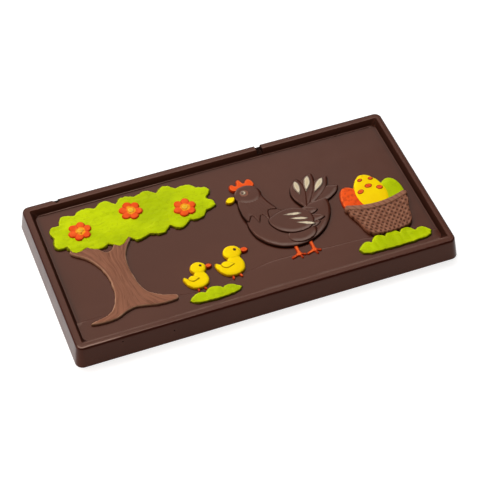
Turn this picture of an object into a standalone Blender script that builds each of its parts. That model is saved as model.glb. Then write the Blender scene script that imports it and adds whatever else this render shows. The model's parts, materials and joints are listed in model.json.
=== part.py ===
"""A moulded dark chocolate bar with a raised rim and a picture in low relief, partly in coloured chocolate.

Metres, +Z up. The origin is the middle of the bar's flat back, X runs along the bar, and the picture
is upright for someone at -Y. Picture coordinates below are millimetres from the middle of the panel.
"""

import math

import bmesh
import bpy

MM = 0.001

# The bar, as it left its mould: the face is smaller than the back, because the mould tapers
BAR_LENGTH = 160.0
BAR_WIDTH = 80.0
BAR_HEIGHT = 9.6
DRAFT = 1.6
BACK_CORNER_RADIUS = 4.5
RIM_WIDTH = 3.1
RIM_DEPTH = 2.35
RIM_SLOPE = 1.4
RIM_ROUNDING = 0.8
PANEL_CORNER_RADIUS = 0.9
PANEL_MOUTH_RADIUS = 1.3
PANEL_FILLET = 0.4
BACK_ROUNDING = 0.3
PANEL_Z = BAR_HEIGHT - RIM_DEPTH

# Chips in the rim: which side, how far along it, how wide, how deep and how far in from the outside
RIM_CHIPS = (
    ("back", 23.1, 2.8, 1.1, 3.6),
    ("back", -64.4, 2.2, 0.6, 1.7),
    ("right", 25.8, 1.1, 0.45, 1.0),
)

# Every coloured piece stands clear of what carries it by this much
GAP = 0.3
# Clearance cutters reach this far above and below the panel, past all of the relief
CUTTER_REACH = 4.0
SOFT_EDGE = 0.55
ROUND_EDGE = 0.95
FINE_EDGE = 0.2

# Heights of the dark relief above the panel; each tail feather stands a little above the last
TAIL_HEIGHT = 1.0
TAIL_STEP = 0.04
BODY_HEIGHT = 1.25
HEAD_HEIGHT = 1.35
WING_HEIGHT = 1.6
LEG_HEIGHT = 0.75
BEAK_HEIGHT = 1.15
WATTLE_HEIGHT = 1.05
EYE_HEIGHT = 1.6

# Thicknesses of the coloured pieces
TRUNK_THICKNESS = 1.0
CROWN_THICKNESS = 1.1
BLOSSOM_THICKNESS = 0.45
BLOSSOM_EYE_THICKNESS = 0.62
FEATHER_THICKNESS = 0.45
COMB_THICKNESS = 1.0
CHICK_THICKNESS = 1.15
CHICK_HEAD_THICKNESS = 1.25
CHICK_BEAK_THICKNESS = 0.85
CHICK_WING_THICKNESS = 1.4
BASKET_THICKNESS = 1.5
BASKET_BAND_THICKNESS = 1.75
EGG_THICKNESS = 1.45
GRASS_THICKNESS = 1.2

# The tree
CROWN = {"x": -38.0, "y": 19.6, "half_length": 33.6, "half_height": 11.6, "bumps": 18}
TRUNK_OUTLINE = (
    (-70, -27), (-61, -24), (-57, -16), (-57, -5), (-61, 4), (-67, 10), (-63, 12.5), (-57, 9),
    (-52.5, 5.5), (-48, 10), (-42, 15), (-38, 13), (-43, 8), (-47, 0), (-47, -10), (-45, -18),
    (-40, -22.4), (-35.4, -24), (-34.2, -25.4), (-35.6, -26.8), (-43, -26.6), (-52, -25), (-61, -28),
)
BLOSSOMS = ((-60.0, 19.5, 10.0), (-37.5, 23.0, 40.0), (-16.5, 17.0, 70.0))
BLOSSOM_RADIUS = 5.1
BLOSSOM_PETALS = 6
BLOSSOM_EYE_RADIUS = 1.5

# The hen looks left; her outlines are measured from HEN_PLACE and drawn at HEN_SIZE
HEN_PLACE = (19.0, -3.5)
HEN_SIZE = 0.92
HEN_BODY = (
    (-11, 14), (-16, 5), (-15, -5), (-8, -13), (3, -15.5), (14, -11), (21, -2), (22, 6), (15, 6),
    (6, 4), (-1, 9), (-5, 15),
)
HEN_WING = (
    (-7, 2), (-5, -5), (2, -9), (10, -8), (17, -3), (13, -2), (15, 1.5), (10, 1.5), (9, 4), (2, 5.5),
)
HEN_COMB = (
    (-15.2, 24), (-16.2, 27), (-14.6, 28.2), (-12.9, 26.8), (-12, 29.4), (-10.4, 29.8), (-9.2, 27.2),
    (-7.2, 29), (-5.4, 28), (-5, 24.6), (-9.5, 23),
)
HEN_HEAD = (-10.0, 19.5, 6.2, 5.8)
HEN_EYE = (-11.6, 20.8, 1.3, 1.3)
HEN_BEAK = {"x": -15.0, "y": 20.4, "turn": 196.0, "length": 5.8, "width": 3.6, "steps": 4}
HEN_WATTLE = {"x": -13.8, "y": 17.6, "turn": 262.0, "length": 5.2, "width": 3.2, "steps": 5}
# White feathers on the wing: where each starts and how far it is turned
WING_FEATHERS = ((-0.5, 2.4, -12.0), (1.4, -0.5, -18.0), (3.3, -3.4, -24.0))
WING_FEATHER_SIZE = {"length": 9.0, "width": 1.9, "steps": 5}
TAIL_ROOT = (12.0, 2.0)
TAIL_FEATHERS = ((28.0, 20.5), (47.0, 22.5), (66.0, 22.5), (85.0, 19.5))
TAIL_FEATHER_WIDTH = 7.6
TAIL_FEATHER_BEND = 0.07
# White inlays on the tail: start and length as shares of the feather, and their width
TAIL_INLAY_START = (0.48, 0.062)
TAIL_INLAY_SHARE = 0.42
TAIL_INLAY_WIDTH = 2.8
LEG_PLACES = (-1.0, 6.0)

# Two chicks look right; CHICKS gives the place and size of each
CHICK_BODY = (
    (-6.3, 2.4), (-5.4, -1.2), (-3, -4), (1, -4.8), (4.6, -3), (5.6, 1), (3.8, 5.6), (0.4, 5),
    (-1.4, 2.6), (-3.4, 2.2), (-5.2, 3.6),
)
CHICK_HEAD = (2.6, 6.6, 3.9, 3.7)
CHICK_BEAK = {"x": 5.0, "y": 6.9, "turn": -8.0, "length": 4.4, "width": 2.6, "steps": 4}
CHICK_WING = {"x": 1.6, "y": 0.4, "turn": 168.0, "length": 5.8, "width": 3.6, "steps": 5}
CHICKS = ((-9.5, -18.5, 1.0), (-24.5, -20.5, 0.86))

# The basket of eggs
BASKET_PLACE = (57.5, -13.0)
BASKET_OUTLINE = (
    (-12.4, 5), (-11.2, -2), (-8.6, -9.5), (0, -11.3), (8.6, -9.5), (11.2, -2), (12.4, 5), (0, 3.4),
)
BASKET_BAND = {"half_length": 12.2, "width": 3.1, "sag": 2.4, "height": 6.1}
EGGS = (
    ("egg_middle", 0.0, 12.0, 20.0, 14.0, 90.0),
    ("egg_left", -7.8, 9.5, 17.0, 11.5, 103.0),
    ("egg_right", 8.0, 9.2, 16.0, 11.5, 74.0),
)

# Two tufts of grass: left end, right end, foot, height and number of blades
GRASS = (("grass_right", 40.5, 72.5, -31.2, 8.4, 5), ("grass_left", -31.0, -9.0, -31.2, 5.8, 3))

COLOURS = {
    "dark_chocolate": ((0.047, 0.019, 0.013, 1.0), 0.35),
    "milk_chocolate": ((0.235, 0.095, 0.055, 1.0), 0.5),
    "lime_chocolate": ((0.52, 0.62, 0.004, 1.0), 0.45),
    "orange_chocolate": ((0.87, 0.10, 0.01, 1.0), 0.45),
    "yellow_chocolate": ((0.95, 0.72, 0.004, 1.0), 0.45),
    "ivory_chocolate": ((0.78, 0.64, 0.38, 1.0), 0.5),
}


def clear_scene():
    for obj in list(bpy.data.objects):
        bpy.data.objects.remove(obj, do_unlink=True)


def make_collection(name, hidden=False):
    collection = bpy.data.collections.new(name)
    bpy.context.scene.collection.children.link(collection)
    collection.hide_render = hidden
    return collection


def make_materials():
    made = {}
    for name, (colour, roughness) in COLOURS.items():
        material = bpy.data.materials.new(name)
        material.use_nodes = True
        shader = material.node_tree.nodes["Principled BSDF"]
        shader.inputs["Base Color"].default_value = colour
        shader.inputs["Roughness"].default_value = roughness
        shader.inputs["Metallic"].default_value = 0.0
        made[name] = material
    return made


# Outlines: each function returns a closed run of points in millimetres, anticlockwise


def placed(points, turn=0.0, at=(0.0, 0.0)):
    cosine, sine = math.cos(math.radians(turn)), math.sin(math.radians(turn))
    return [(at[0] + x * cosine - y * sine, at[1] + x * sine + y * cosine) for x, y in points]


def ellipse(x, y, half_length, half_width, turn=0.0, count=20):
    angles = [2 * math.pi * i / count for i in range(count)]
    return placed([(half_length * math.cos(a), half_width * math.sin(a)) for a in angles], turn, (x, y))


def egg(x, y, length, width, turn=90.0, count=22):
    """An oval whose far end is the slimmer one."""
    points = []
    for i in range(count):
        angle = 2 * math.pi * i / count
        half = width / 2 * math.sin(angle) * (1 - 0.2 * math.cos(angle))
        points.append((length / 2 * math.cos(angle), half))
    return placed(points, turn, (x, y))


def feather(x, y, turn, length, width, bend=0.0, steps=7):
    """A drop with its root at x, y, widest past its middle and bent to one side."""
    near, far = [], []
    for i in range(steps + 1):
        along = i / steps
        half = width / 2 * math.sin(math.pi * along**1.35) ** 0.75 if 0 < i < steps else 0.0
        middle = bend * length * math.sin(math.pi * along)
        near.append((along * length, middle - half))
        far.append((along * length, middle + half))
    return placed(near + far[-2:0:-1], turn, (x, y))


def smooth_loop(corners, steps=3):
    """A closed Catmull-Rom curve through the corners."""
    points, total = [], len(corners)
    for i in range(total):
        a, b, c, d = (corners[(i + k) % total] for k in (-1, 0, 1, 2))
        for j in range(steps):
            t = j / steps
            points.append(tuple(
                0.5 * (2 * b[k] + (c[k] - a[k]) * t + (2 * a[k] - 5 * b[k] + 4 * c[k] - d[k]) * t**2
                       + (3 * b[k] - a[k] - 3 * c[k] + d[k]) * t**3)
                for k in (0, 1)
            ))
    return points


def sagging_band(half_length, width, sag, height, steps=8, cap_steps=4):
    """A strip with round ends whose middle hangs lower by sag."""
    half = width / 2
    run = [half_length * (2 * i / steps - 1) for i in range(steps + 1)]
    middles = [(x, height - sag * (1 - (x / half_length) ** 2)) for x in run]
    turns = [math.pi * (i / cap_steps - 0.5) for i in range(1, cap_steps)]
    right = [(half_length + half * math.cos(a), height + half * math.sin(a)) for a in turns]
    left = [(-x, 2 * height - y) for x, y in right]
    lower = [(x, y - half) for x, y in middles]
    upper = [(x, y + half) for x, y in reversed(middles)]
    return lower + right + upper + left


def flower(x, y, radius, petals, turn, steps=5):
    points = []
    for i in range(petals * steps):
        angle = 2 * math.pi * i / (petals * steps)
        reach = radius * (0.66 + 0.34 * abs(math.cos(petals * angle / 2)) ** 0.8)
        points.append((reach * math.cos(angle), reach * math.sin(angle)))
    return placed(points, turn, (x, y))


def tree_crown(x, y, half_length, half_height, bumps, steps=4):
    """A boxy oval whose edge swells into leafy bumps, evenly spaced along it and uneven in size."""
    fine = 720
    base = []
    for i in range(fine + 1):
        angle = 2 * math.pi * i / fine
        cosine, sine = math.cos(angle), math.sin(angle)
        base.append((
            math.copysign(abs(cosine) ** 0.667, cosine) * half_length,
            math.copysign(abs(sine) ** 0.667, sine) * half_height,
        ))
    reached = [0.0]
    for a, b in zip(base, base[1:]):
        reached.append(reached[-1] + math.dist(a, b))
    points, at = [], 0
    for i in range(bumps * steps):
        share = i / (bumps * steps)
        while reached[at + 1] < share * reached[-1]:
            at += 1
        a, b = base[at], base[at + 1]
        run = math.dist(a, b)
        swell = 3.0 * (0.75 + 0.35 * math.sin(7.2 * 2 * math.pi * share + 1))
        out = swell * (abs(math.sin(math.pi * share * bumps)) - 0.6)
        points.append((x + a[0] + (b[1] - a[1]) / run * out, y + a[1] - (b[0] - a[0]) / run * out))
    return points


def grass_tuft(left, right, foot, height, blades):
    """A low bank with a wavy top edge and a rounded foot."""
    steps = blades * 6
    points = []
    for i in range(steps + 1):
        share = 1 - i / steps
        rise = math.sin(math.pi * (0.06 + 0.88 * share)) ** 0.5
        wave = 0.72 + 0.28 * abs(math.sin(math.pi * blades * share)) ** 0.7
        points.append((left + (right - left) * share, foot + height * rise * wave))
    middle = (left + right) / 2
    points += [(left + 1.2, foot + 0.5), (left + 4.0, foot - 0.5), (middle, foot - 0.9)]
    points += [(right - 4.0, foot - 0.5), (right - 1.2, foot + 0.5)]
    return points


def leg(x):
    """A straight shank and two toes, from inside the hen's body to the ground."""
    return smooth_loop((
        (x - 0.8, -13.5), (x - 1.0, -18.6), (x - 4.6, -20.6), (x - 4.2, -21.8), (x - 0.4, -20.8),
        (x + 2.6, -21.8), (x + 3.0, -20.8), (x + 1.0, -19.2), (x + 0.8, -13.5),
    ), 2)


def on_hen(points):
    return [(HEN_PLACE[0] + HEN_SIZE * x, HEN_PLACE[1] + HEN_SIZE * y) for x, y in points]


def on_basket(points):
    return [(BASKET_PLACE[0] + x, BASKET_PLACE[1] + y) for x, y in points]


# Solids


def tapered_block(name, collection, low, high):
    """A block with round corners; each end is its length, width, corner radius and height."""
    bm = bmesh.new()
    bmesh.ops.create_cube(bm, size=1.0)
    for vert in bm.verts:
        vert.co.x *= low["length"] * MM
        vert.co.y *= low["width"] * MM
    upright = [e for e in bm.edges if abs(e.verts[0].co.z - e.verts[1].co.z) > 0.5]
    bmesh.ops.bevel(
        bm, geom=upright, offset=low["radius"] * MM, segments=4, profile=0.5, affect="EDGES"
    )
    for vert in bm.verts:
        end = high if vert.co.z > 0 else low
        for axis, key in enumerate(("length", "width")):
            centre = low[key] / 2 - low["radius"]
            out = (abs(vert.co[axis]) / MM - centre) / low["radius"]
            moved = end[key] / 2 - end["radius"] + out * end["radius"]
            vert.co[axis] = math.copysign(moved * MM, vert.co[axis])
        vert.co.z = end["height"] * MM
    return object_from(bm, name, collection)


def object_from(bm, name, collection):
    mesh = bpy.data.meshes.new(name)
    bm.to_mesh(mesh)
    bm.free()
    obj = bpy.data.objects.new(name, mesh)
    collection.objects.link(obj)
    return obj


def round_level_edges(obj, height, offset, segments):
    """Rounds the edges that lie at one height."""
    bm = bmesh.new()
    bm.from_mesh(obj.data)
    level = [e for e in bm.edges if all(abs(v.co.z - height * MM) < 1e-6 for v in e.verts)]
    bmesh.ops.bevel(bm, geom=level, offset=offset * MM, segments=segments, profile=0.5, affect="EDGES")
    bm.to_mesh(obj.data)
    bm.free()


def raised(name, outline, collection, base, height, edge, steps=1, cut_base=True, grow=0.0):
    """A flat outline raised from base by height, its upper edge rounded, both in millimetres."""
    curve = bpy.data.curves.new(name, "CURVE")
    curve.dimensions = "2D"
    curve.fill_mode = "BOTH"
    curve.extrude = (height - edge) * MM
    curve.bevel_depth = edge * MM
    curve.bevel_resolution = steps
    curve.offset = (grow - edge) * MM
    spline = curve.splines.new("POLY")
    spline.points.add(len(outline) - 1)
    for point, (x, y) in zip(spline.points, outline):
        point.co = (x * MM, y * MM, 0.0, 1.0)
    spline.use_cyclic_u = True
    guide = bpy.data.objects.new(name + "_outline", curve)
    guide.location.z = base * MM
    bpy.context.scene.collection.objects.link(guide)
    bpy.context.view_layer.update()
    graph = bpy.context.evaluated_depsgraph_get()
    mesh = bpy.data.meshes.new_from_object(guide.evaluated_get(graph))
    mesh.transform(guide.matrix_world)
    bpy.data.objects.remove(guide)
    bm = bmesh.new()
    bm.from_mesh(mesh)
    bpy.data.meshes.remove(mesh)
    bmesh.ops.remove_doubles(bm, verts=bm.verts, dist=2e-6)
    if cut_base:
        cut_flat(bm, (0, 0, base * MM), (0, 0, 1))
    bmesh.ops.recalc_face_normals(bm, faces=bm.faces)
    return object_from(bm, name, collection)


def cut_flat(bm, point, normal):
    """Cuts away what lies behind a plane and closes the cut."""
    cut = bmesh.ops.bisect_plane(
        bm, geom=bm.verts[:] + bm.edges[:] + bm.faces[:], dist=1e-7,
        plane_co=point, plane_no=normal, clear_inner=True,
    )
    edges = [e for e in cut["geom_cut"] if isinstance(e, bmesh.types.BMEdge)]
    bmesh.ops.edgeloop_fill(bm, edges=edges)


def grown(name, outline, cutters):
    """A cutter that clears an outline by the gap all round and runs through the whole relief."""
    return raised(name, outline, cutters, PANEL_Z, CUTTER_REACH, 0.0, cut_base=False, grow=GAP)


def apply_boolean(obj, operation, other=None, collection=None):
    modifier = obj.modifiers.new("join" if collection else "cut", "BOOLEAN")
    modifier.operation = operation
    modifier.solver = "EXACT"
    if collection:
        modifier.operand_type = "COLLECTION"
        modifier.collection = collection
    else:
        modifier.object = other
    bpy.context.view_layer.update()
    graph = bpy.context.evaluated_depsgraph_get()
    mesh = bpy.data.meshes.new_from_object(obj.evaluated_get(graph))
    obj.modifiers.clear()
    obj.data = mesh


def fused(name, layers, collection, base):
    """Several raised outlines as one solid with a flat base; a layer is outline, height, edge, steps."""
    extras = make_collection(name + "_layers")
    obj = raised(name, layers[0][0], collection, base, *layers[0][1:], cut_base=False)
    for number, (outline, height, edge, steps) in enumerate(layers[1:]):
        raised(f"layer_{number}", outline, extras, base, height, edge, steps, cut_base=False)
    join_all(obj, extras)
    bm = bmesh.new()
    bm.from_mesh(obj.data)
    cut_flat(bm, (0, 0, base * MM), (0, 0, 1))
    bmesh.ops.recalc_face_normals(bm, faces=bm.faces)
    bm.to_mesh(obj.data)
    bm.free()
    return obj


def join_all(obj, collection):
    """Fuses a collection's objects to obj, then removes them."""
    apply_boolean(obj, "UNION", collection=collection)
    for extra in list(collection.objects):
        bpy.data.objects.remove(extra, do_unlink=True)
    bpy.data.collections.remove(collection)


# Sub-parts


def make_bar(parts, cutters):
    back = {"length": BAR_LENGTH, "width": BAR_WIDTH, "radius": BACK_CORNER_RADIUS, "height": 0.0}
    face = {
        "length": BAR_LENGTH - 2 * DRAFT, "width": BAR_WIDTH - 2 * DRAFT,
        "radius": BACK_CORNER_RADIUS - DRAFT, "height": BAR_HEIGHT,
    }
    bar = tapered_block("bar", parts, back, face)
    round_level_edges(bar, BAR_HEIGHT, RIM_ROUNDING, 2)
    round_level_edges(bar, 0.0, BACK_ROUNDING, 1)
    above = 1.0
    mouth_inset = RIM_WIDTH - RIM_SLOPE / RIM_DEPTH * above
    floor_inset = RIM_WIDTH + RIM_SLOPE
    floor = {
        "length": face["length"] - 2 * floor_inset, "width": face["width"] - 2 * floor_inset,
        "radius": PANEL_CORNER_RADIUS, "height": PANEL_Z,
    }
    mouth = {
        "length": face["length"] - 2 * mouth_inset, "width": face["width"] - 2 * mouth_inset,
        "radius": PANEL_MOUTH_RADIUS, "height": BAR_HEIGHT + above,
    }
    pocket = tapered_block("panel_pocket", cutters, floor, mouth)
    round_level_edges(pocket, PANEL_Z, PANEL_FILLET, 1)
    apply_boolean(bar, "DIFFERENCE", pocket)
    for number, (side, along, *sizes) in enumerate(RIM_CHIPS):
        chip = rim_chip(f"chip_{number}", cutters, *sizes)
        outside = face["width" if side == "back" else "length"] / 2
        quarter = math.pi / 2
        if side == "back":
            chip.location = (along * MM, outside * MM, BAR_HEIGHT * MM)
            chip.rotation_euler = (-quarter, 0, 0)
        else:
            chip.location = (outside * MM, along * MM, BAR_HEIGHT * MM)
            chip.rotation_euler = (-quarter, 0, -quarter)
        apply_boolean(bar, "DIFFERENCE", chip)
    return bar


def rim_chip(name, cutters, width, depth, reach):
    """A five-sided wedge, wider outside the bar, that breaks a notch into the rim's outer edge."""
    bm = bmesh.new()
    bmesh.ops.create_cone(
        bm, cap_ends=True, segments=5, radius1=width / 2 * MM, radius2=width * 0.75 * MM,
        depth=2 * reach * MM,
    )
    for vert in bm.verts:
        vert.co.y *= 2 * depth / width
    return object_from(bm, name, cutters)


def add_hen(relief):
    """The dark relief that is fused to the panel, with the small beak, wattle, eye and legs on it."""
    layers = []
    for number, (turn, length) in enumerate(TAIL_FEATHERS):
        outline = feather(*TAIL_ROOT, turn, length, TAIL_FEATHER_WIDTH, TAIL_FEATHER_BEND)
        layers.append((outline, TAIL_HEIGHT + TAIL_STEP * number, SOFT_EDGE, 1))
    layers += (
        (smooth_loop(HEN_BODY), BODY_HEIGHT, ROUND_EDGE, 2),
        (ellipse(*HEN_HEAD), HEAD_HEIGHT, ROUND_EDGE, 2),
        (smooth_loop(HEN_WING), WING_HEIGHT, SOFT_EDGE, 1),
        (feather(**HEN_BEAK), BEAK_HEIGHT, FINE_EDGE, 0),
        (feather(**HEN_WATTLE), WATTLE_HEIGHT, FINE_EDGE, 0),
        (ellipse(*HEN_EYE, count=10), EYE_HEIGHT, FINE_EDGE, 0),
    )
    layers += [(leg(x), LEG_HEIGHT + FINE_EDGE * n / 4, FINE_EDGE, 0) for n, x in enumerate(LEG_PLACES)]
    for number, (outline, height, edge, steps) in enumerate(layers):
        name = f"hen_{number}"
        raised(name, on_hen(outline), relief, PANEL_Z, height, edge, steps, cut_base=False)


def add_tree(parts, cutters):
    crown_outline = tree_crown(**CROWN)
    base = PANEL_Z + GAP
    crown = raised("tree_crown", crown_outline, parts, base, CROWN_THICKNESS, SOFT_EDGE)
    trunk = raised("tree_trunk", smooth_loop(TRUNK_OUTLINE), parts, base, TRUNK_THICKNESS, SOFT_EDGE)
    apply_boolean(trunk, "DIFFERENCE", grown("crown_clearance", crown_outline, cutters))
    blossoms = []
    for number, (x, y, turn) in enumerate(BLOSSOMS, 1):
        on_crown = base + CROWN_THICKNESS + GAP
        petals = flower(x, y, BLOSSOM_RADIUS, BLOSSOM_PETALS, turn)
        eye = ellipse(x, y, BLOSSOM_EYE_RADIUS, BLOSSOM_EYE_RADIUS, count=12)
        layers = (
            (petals, BLOSSOM_THICKNESS, FINE_EDGE, 0),
            (eye, BLOSSOM_EYE_THICKNESS, FINE_EDGE, 0),
        )
        blossoms.append(fused(f"blossom_{number}", layers, parts, on_crown))
    return crown, trunk, blossoms


def add_hen_colours(parts, cutters):
    comb = raised(
        "hen_comb", on_hen(smooth_loop(HEN_COMB)), parts, PANEL_Z + GAP, COMB_THICKNESS, SOFT_EDGE
    )
    apply_boolean(comb, "DIFFERENCE", grown("head_clearance", on_hen(ellipse(*HEN_HEAD)), cutters))
    feathers = []
    for number, place in enumerate(WING_FEATHERS, 1):
        outline = on_hen(feather(*place, **WING_FEATHER_SIZE))
        top = PANEL_Z + WING_HEIGHT + GAP
        name = f"wing_feather_{number}"
        feathers.append(raised(name, outline, parts, top, FEATHER_THICKNESS, FINE_EDGE, 0))
    for number, (turn, length) in enumerate(TAIL_FEATHERS[1:], 1):
        start = [share * length for share in TAIL_INLAY_START]
        root = placed([start], turn, TAIL_ROOT)[0]
        outline = on_hen(feather(*root, turn, TAIL_INLAY_SHARE * length, TAIL_INLAY_WIDTH, steps=5))
        top = PANEL_Z + TAIL_HEIGHT + TAIL_STEP * number + GAP
        name = f"tail_feather_{number}"
        feathers.append(raised(name, outline, parts, top, FEATHER_THICKNESS, FINE_EDGE, 0))
    return comb, feathers


def make_chick(name, parts, x, y, size):
    """Body, head, wing and beak of one chick, fused."""
    def scaled(points):
        return [(x + size * a, y + size * b) for a, b in points]

    layers = (
        (scaled(smooth_loop(CHICK_BODY)), CHICK_THICKNESS, SOFT_EDGE, 1),
        (scaled(ellipse(*CHICK_HEAD)), CHICK_HEAD_THICKNESS, SOFT_EDGE, 1),
        (scaled(feather(**CHICK_BEAK)), CHICK_BEAK_THICKNESS, FINE_EDGE, 0),
        (scaled(feather(**CHICK_WING)), CHICK_WING_THICKNESS, FINE_EDGE, 0),
    )
    return fused(name, layers, parts, PANEL_Z + GAP)


def add_basket(parts, cutters):
    base = PANEL_Z + GAP
    side = on_basket(smooth_loop(BASKET_OUTLINE))
    band = on_basket(sagging_band(**BASKET_BAND))
    layers = (
        (side, BASKET_THICKNESS, SOFT_EDGE, 1),
        (band, BASKET_BAND_THICKNESS, SOFT_EDGE, 1),
    )
    basket = fused("basket", layers, parts, base)
    in_front = [grown("basket_clearance", side, cutters), grown("band_clearance", band, cutters)]
    eggs = []
    for name, x, y, length, width, turn in EGGS:
        outline = on_basket(egg(x, y, length, width, turn))
        shell = raised(name, outline, parts, base, EGG_THICKNESS, ROUND_EDGE, 2)
        for cutter in in_front:
            apply_boolean(shell, "DIFFERENCE", cutter)
        if name == "egg_middle":
            in_front.append(grown("egg_clearance", outline, cutters))
        keep_upper_piece(shell)
        eggs.append(shell)
    return basket, eggs


def keep_upper_piece(obj):
    """Drops the scrap of an egg that a cut leaves below the basket's edge."""
    bm = bmesh.new()
    bm.from_mesh(obj.data)
    left, pieces = set(bm.verts), []
    while left:
        stack = [left.pop()]
        piece = set(stack)
        while stack:
            for edge in stack.pop().link_edges:
                for vert in edge.verts:
                    if vert in left:
                        left.discard(vert)
                        piece.add(vert)
                        stack.append(vert)
        pieces.append(piece)
    pieces.sort(key=lambda p: max(v.co.y for v in p))
    scraps = [vert for piece in pieces[:-1] for vert in piece]
    bmesh.ops.delete(bm, geom=scraps, context="VERTS")
    bm.to_mesh(obj.data)
    bm.free()


def add_grass(parts, cutters):
    tufts, clearances = [], []
    for name, *sizes in GRASS:
        outline = grass_tuft(*sizes)
        tufts.append(raised(name, outline, parts, PANEL_Z + GAP, GRASS_THICKNESS, SOFT_EDGE))
        clearances.append(grown(name + "_clearance", outline, cutters))
    return tufts, clearances


def paint(objects, material):
    for obj in objects:
        obj.data.materials.clear()
        obj.data.materials.append(material)


def main():
    clear_scene()
    parts = make_collection("chocolate_bar")
    cutters = make_collection("cutters", hidden=True)
    relief = make_collection("relief")
    bar = make_bar(parts, cutters)
    add_hen(relief)
    join_all(bar, relief)
    crown, trunk, blossoms = add_tree(parts, cutters)
    comb, feathers = add_hen_colours(parts, cutters)
    chicks = [make_chick(f"chick_{n}", parts, *place) for n, place in enumerate(CHICKS, 1)]
    basket, eggs = add_basket(parts, cutters)
    tufts, clearances = add_grass(parts, cutters)
    for behind in (basket, trunk, *chicks):
        for clearance in clearances:
            apply_boolean(behind, "DIFFERENCE", clearance)
    for cutter in cutters.objects:
        cutter.display_type = "WIRE"
        cutter.hide_render = True
    finish = make_materials()
    paint([bar], finish["dark_chocolate"])
    paint([trunk, basket], finish["milk_chocolate"])
    paint([crown, eggs[2], *tufts], finish["lime_chocolate"])
    paint([*blossoms, comb, eggs[1]], finish["orange_chocolate"])
    paint([*chicks, eggs[0]], finish["yellow_chocolate"])
    paint(feathers, finish["ivory_chocolate"])
    for obj in parts.objects:
        obj.data.shade_smooth()
        obj.data.set_sharp_from_angle(angle=math.radians(35))


main()
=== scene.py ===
# Looks of a moulded dark chocolate bar with a relief picture, partly in coloured chocolate.
# All lengths in the dictionaries are millimetres on the bar; meshes are built in metres.
import json
import math

import bmesh
import bpy
import numpy as np
from mathutils import Matrix, Vector, noise

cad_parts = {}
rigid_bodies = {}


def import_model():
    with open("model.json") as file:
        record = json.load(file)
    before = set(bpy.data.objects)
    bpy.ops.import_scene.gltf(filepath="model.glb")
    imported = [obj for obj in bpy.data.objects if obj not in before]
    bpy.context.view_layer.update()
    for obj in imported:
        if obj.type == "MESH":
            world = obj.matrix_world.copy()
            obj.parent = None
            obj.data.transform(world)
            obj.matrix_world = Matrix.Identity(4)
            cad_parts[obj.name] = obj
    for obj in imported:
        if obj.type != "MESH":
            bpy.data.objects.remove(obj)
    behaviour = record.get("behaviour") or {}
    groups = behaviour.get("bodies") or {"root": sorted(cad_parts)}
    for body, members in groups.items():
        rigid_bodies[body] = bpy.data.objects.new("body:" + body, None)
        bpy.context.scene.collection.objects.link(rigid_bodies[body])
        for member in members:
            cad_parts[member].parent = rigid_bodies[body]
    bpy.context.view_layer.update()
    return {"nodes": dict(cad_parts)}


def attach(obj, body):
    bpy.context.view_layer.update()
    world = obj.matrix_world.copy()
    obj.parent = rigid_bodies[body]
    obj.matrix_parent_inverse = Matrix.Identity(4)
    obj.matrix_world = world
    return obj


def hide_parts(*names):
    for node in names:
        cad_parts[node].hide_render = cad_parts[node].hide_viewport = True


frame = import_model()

mm = 0.001
panelZ = 7.25  # height of the panel above the back
noise.seed_set(7)  # the bar's ripple and its chips draw from this
print("frame loaded:", len(frame["nodes"]), "solids")


# Outlines, closed and anticlockwise, the same curves as the solids have

def placed(points, turn=0.0, at=(0.0, 0.0)):
    c, s = math.cos(math.radians(turn)), math.sin(math.radians(turn))
    return [(at[0] + x * c - y * s, at[1] + x * s + y * c) for x, y in points]


def ellipse(x, y, halfLength, halfWidth, turn=0.0, count=40):
    angles = [2 * math.pi * i / count for i in range(count)]
    return placed([(halfLength * math.cos(a), halfWidth * math.sin(a)) for a in angles], turn, (x, y))


def eggShape(x, y, length, width, turn=90.0, count=56):
    points = []
    for i in range(count):
        a = 2 * math.pi * i / count
        points.append((length / 2 * math.cos(a), width / 2 * math.sin(a) * (1 - 0.2 * math.cos(a))))
    return placed(points, turn, (x, y))


def feather(x, y, turn, length, width, bend=0.0, steps=30):  # root at x, y; widest past its middle
    near, far = [], []
    for i in range(steps + 1):
        along = i / steps
        half = width / 2 * math.sin(math.pi * along**1.35) ** 0.75 if 0 < i < steps else 0.0
        middle = bend * length * math.sin(math.pi * along)
        near.append((along * length, middle - half))
        far.append((along * length, middle + half))
    return placed(near + far[-2:0:-1], turn, (x, y))


def smoothLoop(corners, steps=12):  # closed Catmull-Rom through the corners
    points, total = [], len(corners)
    for i in range(total):
        a, b, c, d = (corners[(i + k) % total] for k in (-1, 0, 1, 2))
        for j in range(steps):
            t = j / steps
            points.append(tuple(
                0.5 * (2 * b[k] + (c[k] - a[k]) * t + (2 * a[k] - 5 * b[k] + 4 * c[k] - d[k]) * t**2
                       + (3 * b[k] - a[k] - 3 * c[k] + d[k]) * t**3)
                for k in (0, 1)
            ))
    return points


def saggingBand(halfLength, width, sag, height, steps=24, capSteps=8):
    half = width / 2
    run = [halfLength * (2 * i / steps - 1) for i in range(steps + 1)]
    middles = [(x, height - sag * (1 - (x / halfLength) ** 2)) for x in run]
    turns = [math.pi * (i / capSteps - 0.5) for i in range(1, capSteps)]
    right = [(halfLength + half * math.cos(a), height + half * math.sin(a)) for a in turns]
    left = [(-x, 2 * height - y) for x, y in right]
    return [(x, y - half) for x, y in middles] + right + [(x, y + half) for x, y in reversed(middles)] + left


def petalShape(x, y, radius, petals, turn, steps=12):
    points = []
    for i in range(petals * steps):
        a = 2 * math.pi * i / (petals * steps)
        reach = radius * (0.74 + 0.26 * abs(math.cos(petals * a / 2)) ** 0.7)
        points.append((reach * math.cos(a), reach * math.sin(a)))
    return placed(points, turn, (x, y))


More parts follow.
